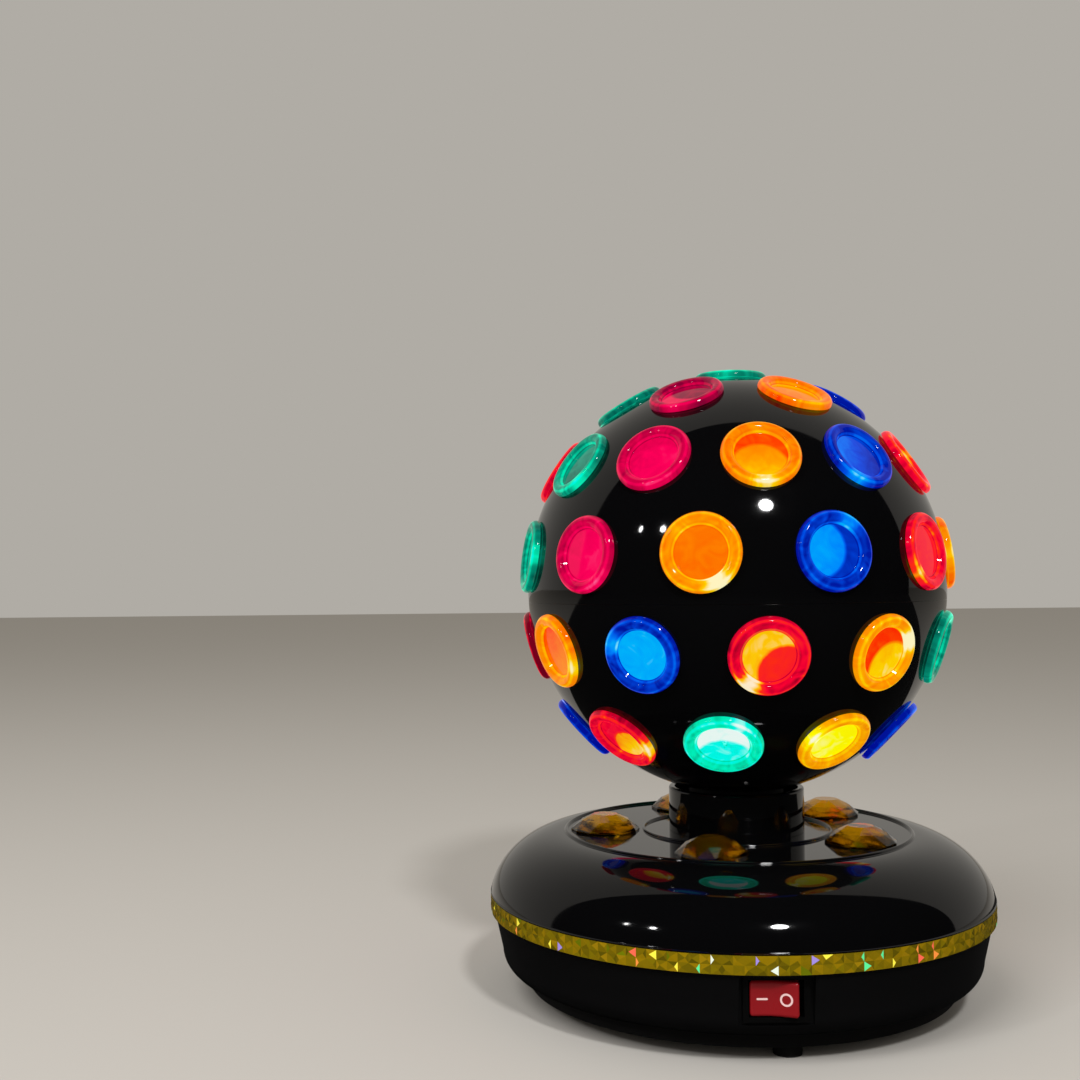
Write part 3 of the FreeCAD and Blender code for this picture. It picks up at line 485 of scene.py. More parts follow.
# %% Lens looks
# row and number: window, lean angle, lean, crescent angle, its share and value, gleam angle, gleam, rim
LOOKS = {
    ("A", 0): (0.16, 270, 0.10, 0, 0.00, 0.00, 280, 0.25, 0.16),
    ("B", 0): (0.08, 200, 0.10, 0, 0.00, 0.00, 250, 0.30, 0.14),
    ("B", 1): (0.02, 100, 0.10, 250, 0.70, 0.40, 270, 0.40, 0.08),
    ("B", 2): (0.34, 60, 0.15, 60, 0.35, 0.55, 265, 0.30, 0.28),
    ("B", 3): (0.04, 0, 0.1, 0, 0.0, 0.0, 100, 0.1, 0.05),
    ("C", 0): (0.32, 0, 0.1, 0, 0.0, 0.0, 270, 0.2, 0.25),
    ("C", 1): (0.10, 120, 0.15, 0, 0.00, 0.00, 320, 0.40, 0.22),
    ("C", 2): (0.46, 30, 0.05, 120, 0.55, 0.38, 290, 0.20, 0.28),
    ("C", 3): (0.44, 270, 0.35, 82, 0.62, 0.05, 266, 0.60, 0.36),
    ("C", 4): (0.24, 155, 0.35, 0, 0.0, 0.0, 235, 0.60, 0.08),
    ("C", 5): (0.36, 90, 0.1, 0, 0.0, 0.0, 20, 0.3, 0.36),
    ("D", 0): (0.08, 180, 0.20, 0, 0.00, 0.00, 0, 0.30, 0.20),
    ("D", 1): (0.46, 0, 0.10, 0, 0.00, 0.00, 310, 0.25, 0.28),
    ("D", 2): (0.25, 90, 0.02, 0, 0.0, 0.0, 300, 0.70, 0.46),
    ("D", 3): (0.58, 180, 0.1, 352, 0.62, 0.10, 58, 0.55, 0.10),
    ("D", 4): (0.30, 0, 0.10, 0, 0.00, 0.00, 215, 0.40, 0.28),
    ("D", 5): (0.30, 0, 0.1, 0, 0.0, 0.0, 180, 0.3, 0.34),
    ("E", 0): (0.04, 0, 0.05, 0, 0.0, 0.0, 100, 0.1, 0.04),
    ("E", 1): (0.22, 310, 0.25, 0, 0.00, 0.00, 335, 0.36, 0.42),
    ("E", 2): (0.72, 0, 0.02, 0, 0.0, 0.0, 155, 0.55, 0.12),
    ("E", 3): (0.44, 130, 0.1, 135, 0.95, 0.76, 235, 0.80, 0.24),
    ("E", 4): (0.66, 300, 0.20, 125, 0.80, 0.04, 28, 0.75, 0.52),
    ("E", 5): (0.12, 0, 0.20, 0, 0.00, 0.00, 90, 0.30, 0.18),
    ("F", 0): (0.06, 0, 0.1, 0, 0.0, 0.0, 100, 0.2, 0.08),
    ("F", 1): (0.62, 310, 0.3, 120, 0.80, 0.25, 345, 0.55, 0.28),
    ("F", 2): (0.72, 270, 0.05, 90, 0.85, 1.0, 60, 0.35, 0.52),
    ("F", 3): (0.76, 200, 0.05, 0, 0.00, 0.00, 160, 0.70, 0.22),
    ("F", 4): (0.06, 0, 0.1, 0, 0.0, 0.0, 100, 0.2, 0.08),
}
GOLDEN_ANGLE = 137.5


def usual_look(number):
    """A look for a lens that the photograph does not show, from multiples of the golden angle."""
    spin = GOLDEN_ANGLE * number
    wave = 0.5 + 0.5 * math.sin(math.radians(spin))
    return (0.3 + 0.3 * wave, spin, 0.2, 2 * spin, 0.7 * wave, 0.1, 3 * spin, 0.3 + 0.3 * wave, 0.3)


looks = np.array([LOOKS.get(lens[:2], usual_look(n)) for n, lens in enumerate(lens_names)])
print(len(LOOKS), "looks from the photograph,", len(lens_names) - len(LOOKS), "worked out")

# %% [markdown]
# ## The lens surface
#
# A lens is a clear coloured moulding, like a small dish: a rounded rim, a sloping inner wall
# and a sunk window that bulges a little. Its half section is drawn once, rounded, and carried
# round its own axis and then out to each place. Five attributes go with the points: `place`
# says where a point lies on the lens, and `levels`, `lean`, `crescent` and `gleam` say how its
# window and rim are lit.

# %% Lens shape
LENS_SIDES = 64
# the window's radius as a share of the lens's
LENS_WINDOW = 0.655
# distance from the lens's axis and height over its seat, then the rounding of each corner
LENS_SECTION = [
    (0.0, 0.92), (5.0, 0.86), (9.6, 0.74), (10.1, 0.74), (11.2, 2.5),
    (12.3, 3.0), (14.1, 3.0), (15.3, 1.5), (15.3, 0.02), (10.3, 0.02), (10.3, -0.6), (0.0, -0.6),
]
LENS_ROUND = [0.0, 1.5, 0.2, 0.2, 0.5, 0.5, 0.8, 0.7, 0.15, 0.0, 0.1, 0.0]


def lens_points(which):
    """Points of some lenses: ball centre + out * (seat + height) + side * radius * cos + rise *
    radius * sin. With them goes each point's place on its lens, in lens radii."""
    section = distinct(fillet(LENS_SECTION, LENS_ROUND, 6))
    radius, height = section[:, 0], section[:, 1]
    turn = np.linspace(0, 2 * np.pi, LENS_SIDES, endpoint=False)
    x = radius[:, None] * np.cos(turn)
    y = radius[:, None] * np.sin(turn)
    out, side, rise = (way[which][:, None, None, :] for way in (lens_out, lens_side, lens_rise))
    points = CENTRE + out * (LENS_SEAT + height[None, :, None, None])
    points = points + side * x[None, :, :, None] + rise * y[None, :, :, None]
    local = np.stack([x, y, 0 * x], -1)[None] / LENS_RADIUS
    return points, np.broadcast_to(local, points.shape)


def polar(angle, size):
    """Vectors of a given size at an angle in degrees."""
    angle = np.radians(angle)
    return np.stack([size * np.cos(angle), size * np.sin(angle), 0 * size], -1)


def lens_group(colour):
    """All lenses of one colour as one mesh, with the attributes that its material reads."""
    which = np.array([n for n, lens in enumerate(lens_names) if lens[2] == colour])
    points, local = lens_points(which)
    obj = grid_mesh(colour + "_lens_caps", points, "ball", wrap_rows=False)
    window, lean_at, lean, crescent_at, share, value, gleam_at, gleam, rim = looks[which].T
    direction = polar(gleam_at, np.ones_like(gleam))
    per_lens = {
        "levels": np.stack([window, value, rim], -1),
        "lean": polar(lean_at, lean),
        "crescent": polar(crescent_at, -share * LENS_WINDOW),
        "gleam": np.stack([direction[:, 0], direction[:, 1], gleam], -1),
    }
    values = {"place": local}
    for name, data in per_lens.items():
        values[name] = np.broadcast_to(data[:, None, None, :], points.shape)
    for name, data in values.items():
        attribute = obj.data.attributes.new(name, "FLOAT_VECTOR", "POINT")
        attribute.data.foreach_set("vector", np.ascontiguousarray(data, np.float32).reshape(-1))
    return close(obj)


# %% [markdown]
# ## How bright a point is
#
# The lenses are tinted transparent acrylic, lit from behind. Real transparency would need a
# lamp in a closed black ball and a very long render, so the light that comes through is given
# as emission. One number says how bright a point is: the window's level, its lean and its
# crescent inside, and the rim's level and gleams outside, with a fine bright line on the
# crest and a dark one round the window. A stretched noise, different on each lens, adds the
# streaks that light makes as it bends in the plastic. The flat window bends it less than the
# rim, so its streaks are calmer.

# %% Brightness of a lens
WINDOW_STREAKS = 0.26
RIM_STREAKS = 0.60
STREAK_SIZE = 10.2 * MM
# widths of the crescent's and the window's edge, as shares of the lens's radius
CRESCENT_EDGE = 0.10
WINDOW_EDGE = 0.01
GLEAM_POWER = 14.0
FAR_SHARE = 0.75
FAR_POWER = 9.0
NEUTRAL = 0.5
# share of the lens's radius, and a grey: what it has over the neutral one makes a bright ring
LENS_RINGS = [
    (0.0, 0.5), (0.64, 0.5), (0.652, 0.34), (0.664, 0.38), (0.676, 0.68), (0.70, 0.64),
    (0.715, 0.44), (0.77, 0.50), (0.86, 0.42), (0.905, 0.50), (0.925, 0.66), (0.955, 0.62),
    (0.975, 0.42), (1.0, 0.38),
]
MATH = "ShaderNodeMath"
VECTOR = "ShaderNodeVectorMath"


def window_light(tree, place, level, lean, crescent):
    """Level + place . lean, but the crescent's value further than the window's radius from the
    crescent's point."""
    leaning = add(tree, VECTOR, {0: place, 1: lean}, operation="DOT_PRODUCT").outputs["Value"]
    window = add(tree, MATH, {0: level["X"], 1: leaning}, operation="ADD").outputs[0]
    away = add(tree, VECTOR, {0: place, 1: crescent}, operation="DISTANCE").outputs["Value"]
    beyond = add(tree, "ShaderNodeMapRange", {
        "Value": away, "From Min": LENS_WINDOW, "From Max": LENS_WINDOW + CRESCENT_EDGE,
    }).outputs["Result"]
    return add(tree, "ShaderNodeMix", {"Factor": beyond, "A": window, "B": level["Y"]}).outputs[0]


def rim_light(tree, place, level, gleam):
    """Level + gleam * (near + far). With c the cosine of the angle from the gleam, near is c to
    its power, and far is a share of -c to a power of its own."""
    strength = add(tree, "ShaderNodeSeparateXYZ", {"Vector": gleam}).outputs["Z"]
    way = add(tree, VECTOR, {0: place}, operation="NORMALIZE").outputs["Vector"]
    cosine = add(tree, VECTOR, {0: way, 1: gleam}, operation="DOT_PRODUCT").outputs["Value"]
    beams = []
    for share, power in ((1.0, GLEAM_POWER), (-FAR_SHARE, FAR_POWER)):
        beam = add(tree, MATH, {0: cosine, 1: share}, operation="MULTIPLY").outputs[0]
        beam = add(tree, MATH, {0: beam, 1: 0.0}, operation="MAXIMUM").outputs[0]
        beams.append(add(tree, MATH, {0: beam, 1: power}, operation="POWER").outputs[0])
    both = add(tree, MATH, {0: beams[0], 1: beams[1]}, operation="ADD").outputs[0]
    ends = {0: both, 1: strength, 2: level["Z"]}
    return add(tree, MATH, ends, operation="MULTIPLY_ADD").outputs[0]


def lens_glow(tree):
    """The brightness number of a point: window or rim + ring + streaks * their strength."""
    place, levels, lean, crescent, gleam = (
        add(tree, "ShaderNodeAttribute", attribute_name=name).outputs["Vector"]
        for name in ("place", "levels", "lean", "crescent", "gleam")
    )
    level = add(tree, "ShaderNodeSeparateXYZ", {"Vector": levels}).outputs
    radius = add(tree, VECTOR, {0: place}, operation="LENGTH").outputs["Value"]
    outside = add(tree, "ShaderNodeMapRange", {
        "Value": radius, "From Min": LENS_WINDOW - WINDOW_EDGE, "From Max": LENS_WINDOW + WINDOW_EDGE,
    }).outputs["Result"]
    glow = add(tree, "ShaderNodeMix", {
        "Factor": outside,
        "A": window_light(tree, place, level, lean, crescent),
        "B": rim_light(tree, place, level, gleam),
    }).outputs[0]
    ring = stops(add(tree, "ShaderNodeValToRGB", {"Fac": radius}), *LENS_RINGS)
    shifted = add(tree, MATH, {0: glow, 1: ring}, operation="ADD").outputs[0]
    spot = add(tree, VECTOR, {0: place, 1: gleam}, operation="ADD").outputs[0]
    streaks = add(tree, "ShaderNodeTexNoise", {
        "Vector": spot, "Scale": LENS_RADIUS / STREAK_SIZE,
        "Detail": 1.5, "Roughness": 0.5, "Distortion": 2.4,
    }).outputs["Fac"]
    strength = add(tree, "ShaderNodeMapRange", {
        "Value": outside, "To Min": WINDOW_STREAKS, "To Max": RIM_STREAKS,
    }).outputs["Result"]
    centred = add(tree, MATH, {0: streaks, 1: NEUTRAL}, operation="SUBTRACT").outputs[0]
    ends = {0: centred, 1: strength, 2: shifted}
    uneven = add(tree, MATH, ends, operation="MULTIPLY_ADD").outputs[0]
    return add(tree, MATH, {0: uneven, 1: NEUTRAL}, operation="SUBTRACT").outputs[0]


# %% [markdown]
# ## Lens material
#
# A colour ramp turns the brightness into the tints that the plastic shows from dim to bright.
# The surface itself is polished acrylic over a dark body, which only adds sharp glints.

# %% Lens material
ACRYLIC_IOR = 1.49
ACRYLIC_LEVEL = 0.18
BODY_SHADE = 0.1
LENS_TINTS = {
    "green": ("#00544a", "#06a080", "#00f2ba", "#00fff0", "#f0fffa"),
    "magenta": ("#760030", "#d00044", "#ff005a", "#ff4a88", "#ffe0ec"),
    "orange": ("#ff2400", "#fa7400", "#ffa000", "#ffd800", "#fffcc8"),
    "blue": ("#000a96", "#0046dc", "#0082ff", "#00baff", "#a0f8ff"),
    "red": ("#64001a", "#f50032", "#ff3008", "#ffd000", "#fff4d0"),
    "yellow": ("#f08000", "#ffae00", "#ffe000", "#ffff00", "#ffffe0"),
}


def lit_acrylic(colour):
    """Tinted clear acrylic with light behind it: it gives the eye a deep glow with sharp glints."""
    made, tree, shader = material("acrylic_clear_" + colour)
    tints = [linear(tint) for tint in LENS_TINTS[colour]]
    ramp = add(tree, "ShaderNodeValToRGB", {"Fac": lens_glow(tree)})
    tint = stops(ramp, *zip(np.linspace(0, 1, len(tints)), tints))
    body = tuple(BODY_SHADE * c for c in tints[1][:3]) + (1.0,)
    feed(tree, shader, {
        "Base Color": body, "Roughness": 0.05, "IOR": ACRYLIC_IOR,
        "Specular IOR Level": ACRYLIC_LEVEL, "Emission Color": tint, "Emission Strength": 0.9,
    })
    return made


for colour in LENS_TINTS:
    caps = lens_group(colour)
    dress(caps, lit_acrylic(colour), "lens_" + colour, colour + "_lenses")
    print(colour, len(caps.data.polygons), "faces")

# %% [markdown]
# ## Dome and deck
#
# The top of the base is one black moulding: a flat deck that rolls over into a wide dome and
# ends in a thin lip above the gold band. Two round beads stand on the deck. All of it is one
# outline turned about the axis. The dome's curve is a quarter of an ellipse.

# %% Dome
DECK_MM = DECK / MM
SLEEVE_RADIUS = 17.06
BEAD_RADII = (39.4, 72.4)
BEAD_HEIGHT = 1.0
BEAD_HALF_WIDTH = 0.7
DOME_WALL = 2.5
# middle of the ellipse, its reach outwards, and the angles where its curves start, in degrees
DOME_MIDDLE = (72.0, 38.0)
DOME_REACH = 33.3
DOME_START = 8.7
DOME_INNER_START = 10
LIP_RADIUS = 104.95
LIP_HEIGHT = 42.4
LIP_TOP = 42.7
SKIRT_RADIUS = 104.6
SKIRT_INSIDE = 102.1
SKIRT_FOOT = 35.0

# the dome meets the deck one bead's width out from the middle of the outer bead
dome_edge = math.degrees(math.acos((BEAD_RADII[1] + 2 * BEAD_HALF_WIDTH - DOME_MIDDLE[0]) / DOME_REACH))


def dome_arc(wall, start, end, count):
    """Part of the dome's ellipse, or of the one that lies a wall's thickness inside it."""
    radius, height = DOME_MIDDLE
    rise = DECK_MM - height - wall
    return arc(radius * MM, height * MM, (DOME_REACH - wall) * MM, rise * MM, start, end, count)


def bead(radius):
    """A half-round bead across the deck, from its outer side to its inner side."""
    return arc(radius * MM, DECK, BEAD_HALF_WIDTH * MM, BEAD_HEIGHT * MM, 0, 180, 12)


dome_profile = np.concatenate([
    fillet(
        [(SKIRT_RADIUS, LIP_HEIGHT), (LIP_RADIUS, LIP_HEIGHT), (LIP_RADIUS, LIP_TOP)],
        [0.0, 0.1, 0.0], 3,
    ),
    dome_arc(0, DOME_START, dome_edge, 40),
    bead(BEAD_RADII[1]),
    bead(BEAD_RADII[0]),
    np.array([[SLEEVE_RADIUS, DECK_MM], [SLEEVE_RADIUS, DECK_MM - DOME_WALL]]) * MM,
    dome_arc(DOME_WALL, 90, DOME_INNER_START, 30),
    np.array([[SKIRT_INSIDE, SKIRT_FOOT], [SKIRT_RADIUS, SKIRT_FOOT]]) * MM,
])
dome = turned("dome_and_deck", dome_profile, "base", 384)
dress(dome, black_gloss, "dome_black", "base_top_cover")

# %% Neck
NECK_INSIDE = 26.0
NECK_RADIUS = 28.5
NECK_TOP = DECK_MM + 18.3
neck_profile = fillet(
    [(NECK_INSIDE, DECK_MM), (NECK_RADIUS, DECK_MM), (NECK_RADIUS, NECK_TOP), (NECK_INSIDE, NECK_TOP)],
    [0.0, 0.1, 0.9, 0.5],
)
neck = turned("neck_tube", neck_profile, "base", 192)
dress(neck, black_gloss, "dome_black", "neck_collar")

# %% [markdown]
# ## Gold band
#
# The band is gold holographic tape, pressed with two rows of tiny pyramids. Each pyramid here
# is four flat triangles, coarse enough to show, and each triangle keeps a tint of its own:
# nearly all are some olive gold, and a few are painted glints in green, orange, red or violet,
# bright colours with a faint glow in place of the lamp light that such tape splits. The glints
# that the photograph shows are placed by their angle from the front, and the hidden side gets
# a few at random.

# %% Gold tape sizes
TAPE_RADIUS = 105.0 * MM
TAPE_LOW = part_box("gold_band")[0].z
TAPE_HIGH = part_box("gold_band")[1].z
TAPE_CELLS = 168
TAPE_ROWS = 2
TAPE_STEP = 2 * np.pi / TAPE_CELLS
TAPE_THICK = 0.4 * MM
PYRAMID = 0.15 * MM
CREST_SHIFT = 0.2
# tints below the first of these are olive golds, and each kind of painted glint has its own above it
PLAIN_TINTS = 0.88
GREEN, WHITE, YELLOW, ORANGE, RED, VIOLET = 0.89, 0.91, 0.93, 0.95, 0.97, 0.99
BACK_TINT = 0.1
# share of the hidden triangles that get a painted glint, and the cosine of the angle where they begin
STRAY_SHARE = 0.05
HIDDEN_COSINE = 0.4
# placed painted glints: a bright tint on one triangle, where a lamp's glint would fall
# degrees from the front, row, side of the pyramid, tint
GLINTS = np.array([
    (-62.8, 0, 1, ORANGE), (-60.5, 1, 3, YELLOW), (-51.0, 0, 1, YELLOW), (-45.5, 0, 3, VIOLET),
    (-29.5, 1, 1, RED), (-27.8, 0, 3, ORANGE), (-25.5, 1, 1, YELLOW), (-20.3, 0, 1, YELLOW),
    (-16.3, 0, 1, GREEN), (-12.6, 1, 3, WHITE), (-3.2, 1, 3, VIOLET), (-1.4, 0, 1, WHITE),
    (7.6, 1, 3, VIOLET), (9.2, 1, 2, YELLOW), (16.3, 1, 1, GREEN), (18.6, 0, 3, GREEN),
    (20.8, 1, 1, GREEN), (24.0, 0, 3, YELLOW), (29.2, 1, 1, ORANGE), (30.4, 0, 3, RED),
    (33.4, 1, 1, RED), (35.2, 0, 3, ORANGE),
])

# %% Gold tape


def on_ring(angle, radius, height):
    """Points at an angle from the front, a radius and a height."""
    angle, radius, height = np.broadcast_arrays(angle, radius, height)
    return np.stack([radius * np.sin(angle), -radius * np.cos(angle), height], -1)


def tape_outside(column, row):
    """Four corners and a raised middle for each cell, the middle left or right by turns."""
    crest = 0.5 + CREST_SHIFT * np.where((column + row) % 2, -1, 1)
    across = np.stack([0 * crest, 1 + 0 * crest, 1 + 0 * crest, 0 * crest, crest], -1)
    along = np.array([0.0, 0.0, 1.0, 1.0, 0.5])
    deep = np.array([1.0, 1.0, 1.0, 1.0, 0.0]) * PYRAMID
    height = TAPE_LOW + (row[:, None] + along) * (TAPE_HIGH - TAPE_LOW) / TAPE_ROWS
    return on_ring((column[:, None] + across) * TAPE_STEP, TAPE_RADIUS - deep, height)


def tape_inside():
    """Quads behind the cells, and at the top and the bottom from there to the outside."""
    turn = TAPE_STEP * (np.arange(TAPE_CELLS)[:, None] + np.array([0, 1, 1, 0]))
    levels = np.array([TAPE_LOW, TAPE_LOW, TAPE_HIGH, TAPE_HIGH])
    deep = np.array([TAPE_THICK, TAPE_THICK, PYRAMID, PYRAMID])
    edges = [on_ring(turn, TAPE_RADIUS - deep, height) for height in (TAPE_LOW, TAPE_HIGH)]
    return np.concatenate([on_ring(turn, TAPE_RADIUS - TAPE_THICK, levels), *edges]).reshape(-1, 3)


def tape_tints_and_glints(column):
    """A tint for each of the four sides of every pyramid: plain ones and painted stray glints at
    random, and then the placed painted glints."""
    sides = 4 * len(column)
    chance = np.random.default_rng(7)
    tint = chance.random(sides) * PLAIN_TINTS
    stray = chance.random(sides) < STRAY_SHARE
    glint = PLAIN_TINTS + (1 - PLAIN_TINTS) * chance.random(sides)
    hidden = np.cos(TAPE_STEP * np.repeat(column, 4)) < HIDDEN_COSINE
    tint = np.where(hidden & stray, glint, tint)
    angle, row, side, shade = GLINTS.T
    place = np.floor(np.radians(angle) / TAPE_STEP) % TAPE_CELLS
    tint[((place * TAPE_ROWS + row) * 4 + side).astype(int)] = shade
    return tint


def gold_tape():
    """A closed ring: four triangles round the middle of each cell, and quads for the rest."""
    cells = np.meshgrid(np.arange(TAPE_CELLS), np.arange(TAPE_ROWS), indexing="ij")
    column, row = (number.reshape(-1) for number in cells)
    outside, quads = tape_outside(column, row), tape_inside()
    corner = np.array([(0, 1, 4), (1, 2, 4), (2, 3, 4), (3, 0, 4)])
    triangles = (corner[None] + 5 * np.arange(len(column))[:, None, None]).reshape(-1, 3)
    fours = outside.size // 3 + np.arange(len(quads)).reshape(-1, 4)
    points = np.concatenate([outside.reshape(-1, 3), quads])
    tint = np.r_[tape_tints_and_glints(column), np.full(len(fours), BACK_TINT)]
    mesh = bpy.data.meshes.new("gold_tape")
    mesh.from_pydata(points.tolist(), [], triangles.tolist() + fours.tolist())
    mesh.attributes.new("tint", "FLOAT", "FACE").data.foreach_set("value", tint.astype(np.float32))
    obj = linked("gold_tape", mesh)
    return close(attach(obj, "base"), smooth=False)


# %% Gold foil
# the tint from which each colour holds; from the green one up they are painted glints
FOIL_COLOURS = [
    (0.0, "#9c8200"), (0.20, "#827000"), (0.36, "#ac8c00"), (0.50, "#907a00"), (0.64, "#706200"),
    (0.74, "#988400"), (0.82, "#b89408"), (0.86, "#7c8600"), (0.88, "#5cf09a"), (0.90, "#e8f4e0"),
    (0.92, "#fff04a"), (0.94, "#ff9440"), (0.96, "#ff6a50"), (0.98, "#a08ce0"),
]
PAINTED_GLINT_GLOW = 0.45
GLINT_EDGE = 0.005


def holographic_foil():
    """Metallised polyester, embossed: a yellow metal, with painted glints in colours that glow faintly.
    """
    made, tree, shader = material("foil_gold_holographic")
    tint = add(tree, "ShaderNodeAttribute", attribute_name="tint").outputs["Fac"]
    ramp = add(tree, "ShaderNodeValToRGB", {"Fac": tint})
    ramp.color_ramp.interpolation = "CONSTANT"
    colour = stops(ramp, *((start, linear(shade)) for start, shade in FOIL_COLOURS))
    # painted glow: the painted glint tints also give off a little light
    painted_glow = add(tree, "ShaderNodeMapRange", {
        "Value": tint, "From Min": PLAIN_TINTS - GLINT_EDGE, "From Max": PLAIN_TINTS + GLINT_EDGE,
        "To Max": PAINTED_GLINT_GLOW,
    })
    feed(tree, shader, {
        "Base Color": colour, "Metallic": 0.35, "Roughness": 0.25,
        "Emission Color": colour, "Emission Strength": painted_glow.outputs["Result"],
    })
    return made


tape = gold_tape()
dress(tape, holographic_foil(), "gold_tape", "gold_band")
cell_width = 2 * math.pi * TAPE_RADIUS / TAPE_CELLS / MM
print("tape cells of", round(cell_width, 2), "mm,", len(GLINTS), "placed glints")

# %% [markdown]
# ## Rocker
#
# The red rocker has two flat faces that meet in a shallow valley, and all its edges are round.
# Its outline, seen from above, is drawn level: sideways and out from the pivot. It is carried
# up through the rocker's height and shrinks at both ends along its own normals, which rounds
# them. Everything is then turned about the pivot to the position at rest. The two marks are
# thin raised prints, a bar and a ring.

# %% Rocker sizes
PIVOT = np.array([0.0, -95.1, 25.6])
ROCKER_TILT = math.radians(10.0)
ROCKER_HALF = 8.7
ROCKER_HEIGHT = 12.6
ROCKER_CREST = 5.8
ROCKER_VALLEY = ROCKER_CREST - ROCKER_HALF * math.tan(ROCKER_TILT)
ROCKER_EDGE = 1.3
# sideways and out from the pivot, then the rounding of each corner
ROCKER_SECTION = [
    (-ROCKER_HALF, 1.0), (-3.0, 1.0), (-3.0, -1.8), (3.0, -1.8), (3.0, 1.0), (ROCKER_HALF, 1.0),
    (ROCKER_HALF, ROCKER_CREST), (0.0, ROCKER_VALLEY), (-ROCKER_HALF, ROCKER_CREST),
]
ROCKER_ROUND = [0.3, 0.0, 0.3, 0.3, 0.0, 0.3, 1.4, 2.5, 1.4]
ROCKER_MIDDLE = (0.0, 1.5)
PIN_RADIUS = 1.4
PIN_HALF = 6.94
MARK_PLACE = 4.3
MARK_PROUD = 0.08
MARK_SUNK = 0.2
STROKE = 0.7
BAR_HALF = 1.65
RING_INSIDE = 1.6

# %% Rocker


def at_rest(level):
    """Turns points of (sideways, outwards, up) in mm by the tilt about the pivot, in metres."""
    x, y, z = level[..., 0], -level[..., 1], level[..., 2]
    c, s = math.cos(ROCKER_TILT), math.sin(ROCKER_TILT)
    return (np.stack([x * c + y * s, y * c - x * s, z], -1) + PIVOT) * MM


def rocker_points():
    """Outline rows from the bottom cap to the top cap, shrunk along their normals at the ends."""
    outline = distinct(held(fillet(ROCKER_SECTION, ROCKER_ROUND, 7))) / MM
    ahead = np.roll(outline, -1, 0) - np.roll(outline, 1, 0)
    normal = np.stack([ahead[:, 1], -ahead[:, 0]], -1) / np.linalg.norm(ahead, axis=1, keepdims=True)
    bend = np.radians(np.linspace(0, 90, 7))
    inset = ROCKER_EDGE * (1 - np.cos(bend))
    reach = ROCKER_HEIGHT / 2 - ROCKER_EDGE + ROCKER_EDGE * np.sin(bend)
    inset = np.r_[inset[::-1], 0, 0, inset][:, None, None]
    level = reach[0] - HOLD / MM
    height = np.r_[-reach[::-1], -level, level, reach]
    flat = outline[None] - inset * normal[None]
    cap = 0 * flat[:1] + ROCKER_MIDDLE
    flat = np.concatenate([cap, flat, cap])
    height = np.r_[height[0], height, height[-1]][:, None] + 0 * flat[..., 0]
    return at_rest(np.concatenate([flat, height[..., None]], -1))


def loops(widths, heights, shape):
    """A stack of loops of (x, y, height), each as wide and as high as listed."""
    spread = np.array(widths)[:, None, None] * shape[None]
    return spread[..., 0], spread[..., 1], np.array(heights)[:, None] + 0 * spread[..., 0]


def mark(name, side, inner, outer, shape):
    """A print on the left (-1) or right (1) face: loops from its inner edge out, up and back in.
    On the face they go outwards from the valley, across it and off it."""
    heights = [-MARK_SUNK, -MARK_SUNK, MARK_PROUD, MARK_PROUD]
    along, across, proud = loops([inner, outer, outer, inner], heights, shape)
    along = along + MARK_PLACE
    c, s = math.cos(ROCKER_TILT), math.sin(ROCKER_TILT)
    outwards = ROCKER_VALLEY + along * s + proud * c
    points = at_rest(np.stack([side * (along * c - proud * s), outwards, across], -1))
    return close(grid_mesh(name, points[None], "rocker", wrap_rows=inner > 0), smooth=False)


turn = np.linspace(0, 2 * np.pi, 48, endpoint=False)
circle = np.stack([np.cos(turn), np.sin(turn)], -1)
# a small circle whose two halves are pulled apart to the ends of the bar
apart = BAR_HALF * np.clip(circle[:, 0] * 9, -1, 1)
bar = np.stack([apart + STROKE / 2 * circle[:, 0], STROKE / 2 * circle[:, 1]], -1)

rocker = close(grid_mesh("rocker_cap", rocker_points()[None], "rocker", wrap_rows=False))
bar_mark = mark("mark_bar", -1, 0, 1, bar)
ring_mark = mark("mark_ring", 1, RING_INSIDE, RING_INSIDE + STROKE, circle)
pin_loops = loops([0, PIN_RADIUS, PIN_RADIUS, 0], [-PIN_HALF, -PIN_HALF, PIN_HALF, PIN_HALF], circle)
pin_points = at_rest(np.stack(pin_loops, -1))
pins = close(grid_mesh("rocker_pins", pin_points[None], "rocker", wrap_rows=False), smooth=False)
print("rocker", len(rocker.data.polygons), "faces, valley", round(ROCKER_VALLEY, 2), "mm out")

# %% [markdown]
# ## Stones
#
# Five stones of clear amber acrylic stand in a ring between the beads. Each is cut with twelve
# sides: an upright girdle, a crown of triangles and a flat table on top. The levels of points
# are worked out for all stones at once, and each kind of facet is one array of point numbers.
# A crumpled gold foil is pressed into the back of each stone. It is a small disc of flat
# facets, high and low by turns, just inside the bottom. Without it the stones would only pass
# on the black of the deck.

# %% Stones
STONES = 5
STONE_RING = 55.9
STONE_AZIMUTH = -17.5
STONE_RADIUS = 14.5
STONE_SIDES = 12
# share of the radius, height, turn in sides
STONE_LEVELS = np.array([(1.0, 0.0, 0.0), (1.0, 0.8, 0.0), (0.70, 4.6, 0.5), (0.36, 6.9, 0.0)])


def on_deck(local):
    """Copies of points in mm, (level, side, 3), at each stone's place on the ring, in metres."""
    place = np.radians(STONE_AZIMUTH + 360 / STONES * np.arange(STONES))
    centre = on_ring(place, STONE_RING, DECK_MM)
    return (centre[:, None, None, :] + local[None]) * MM


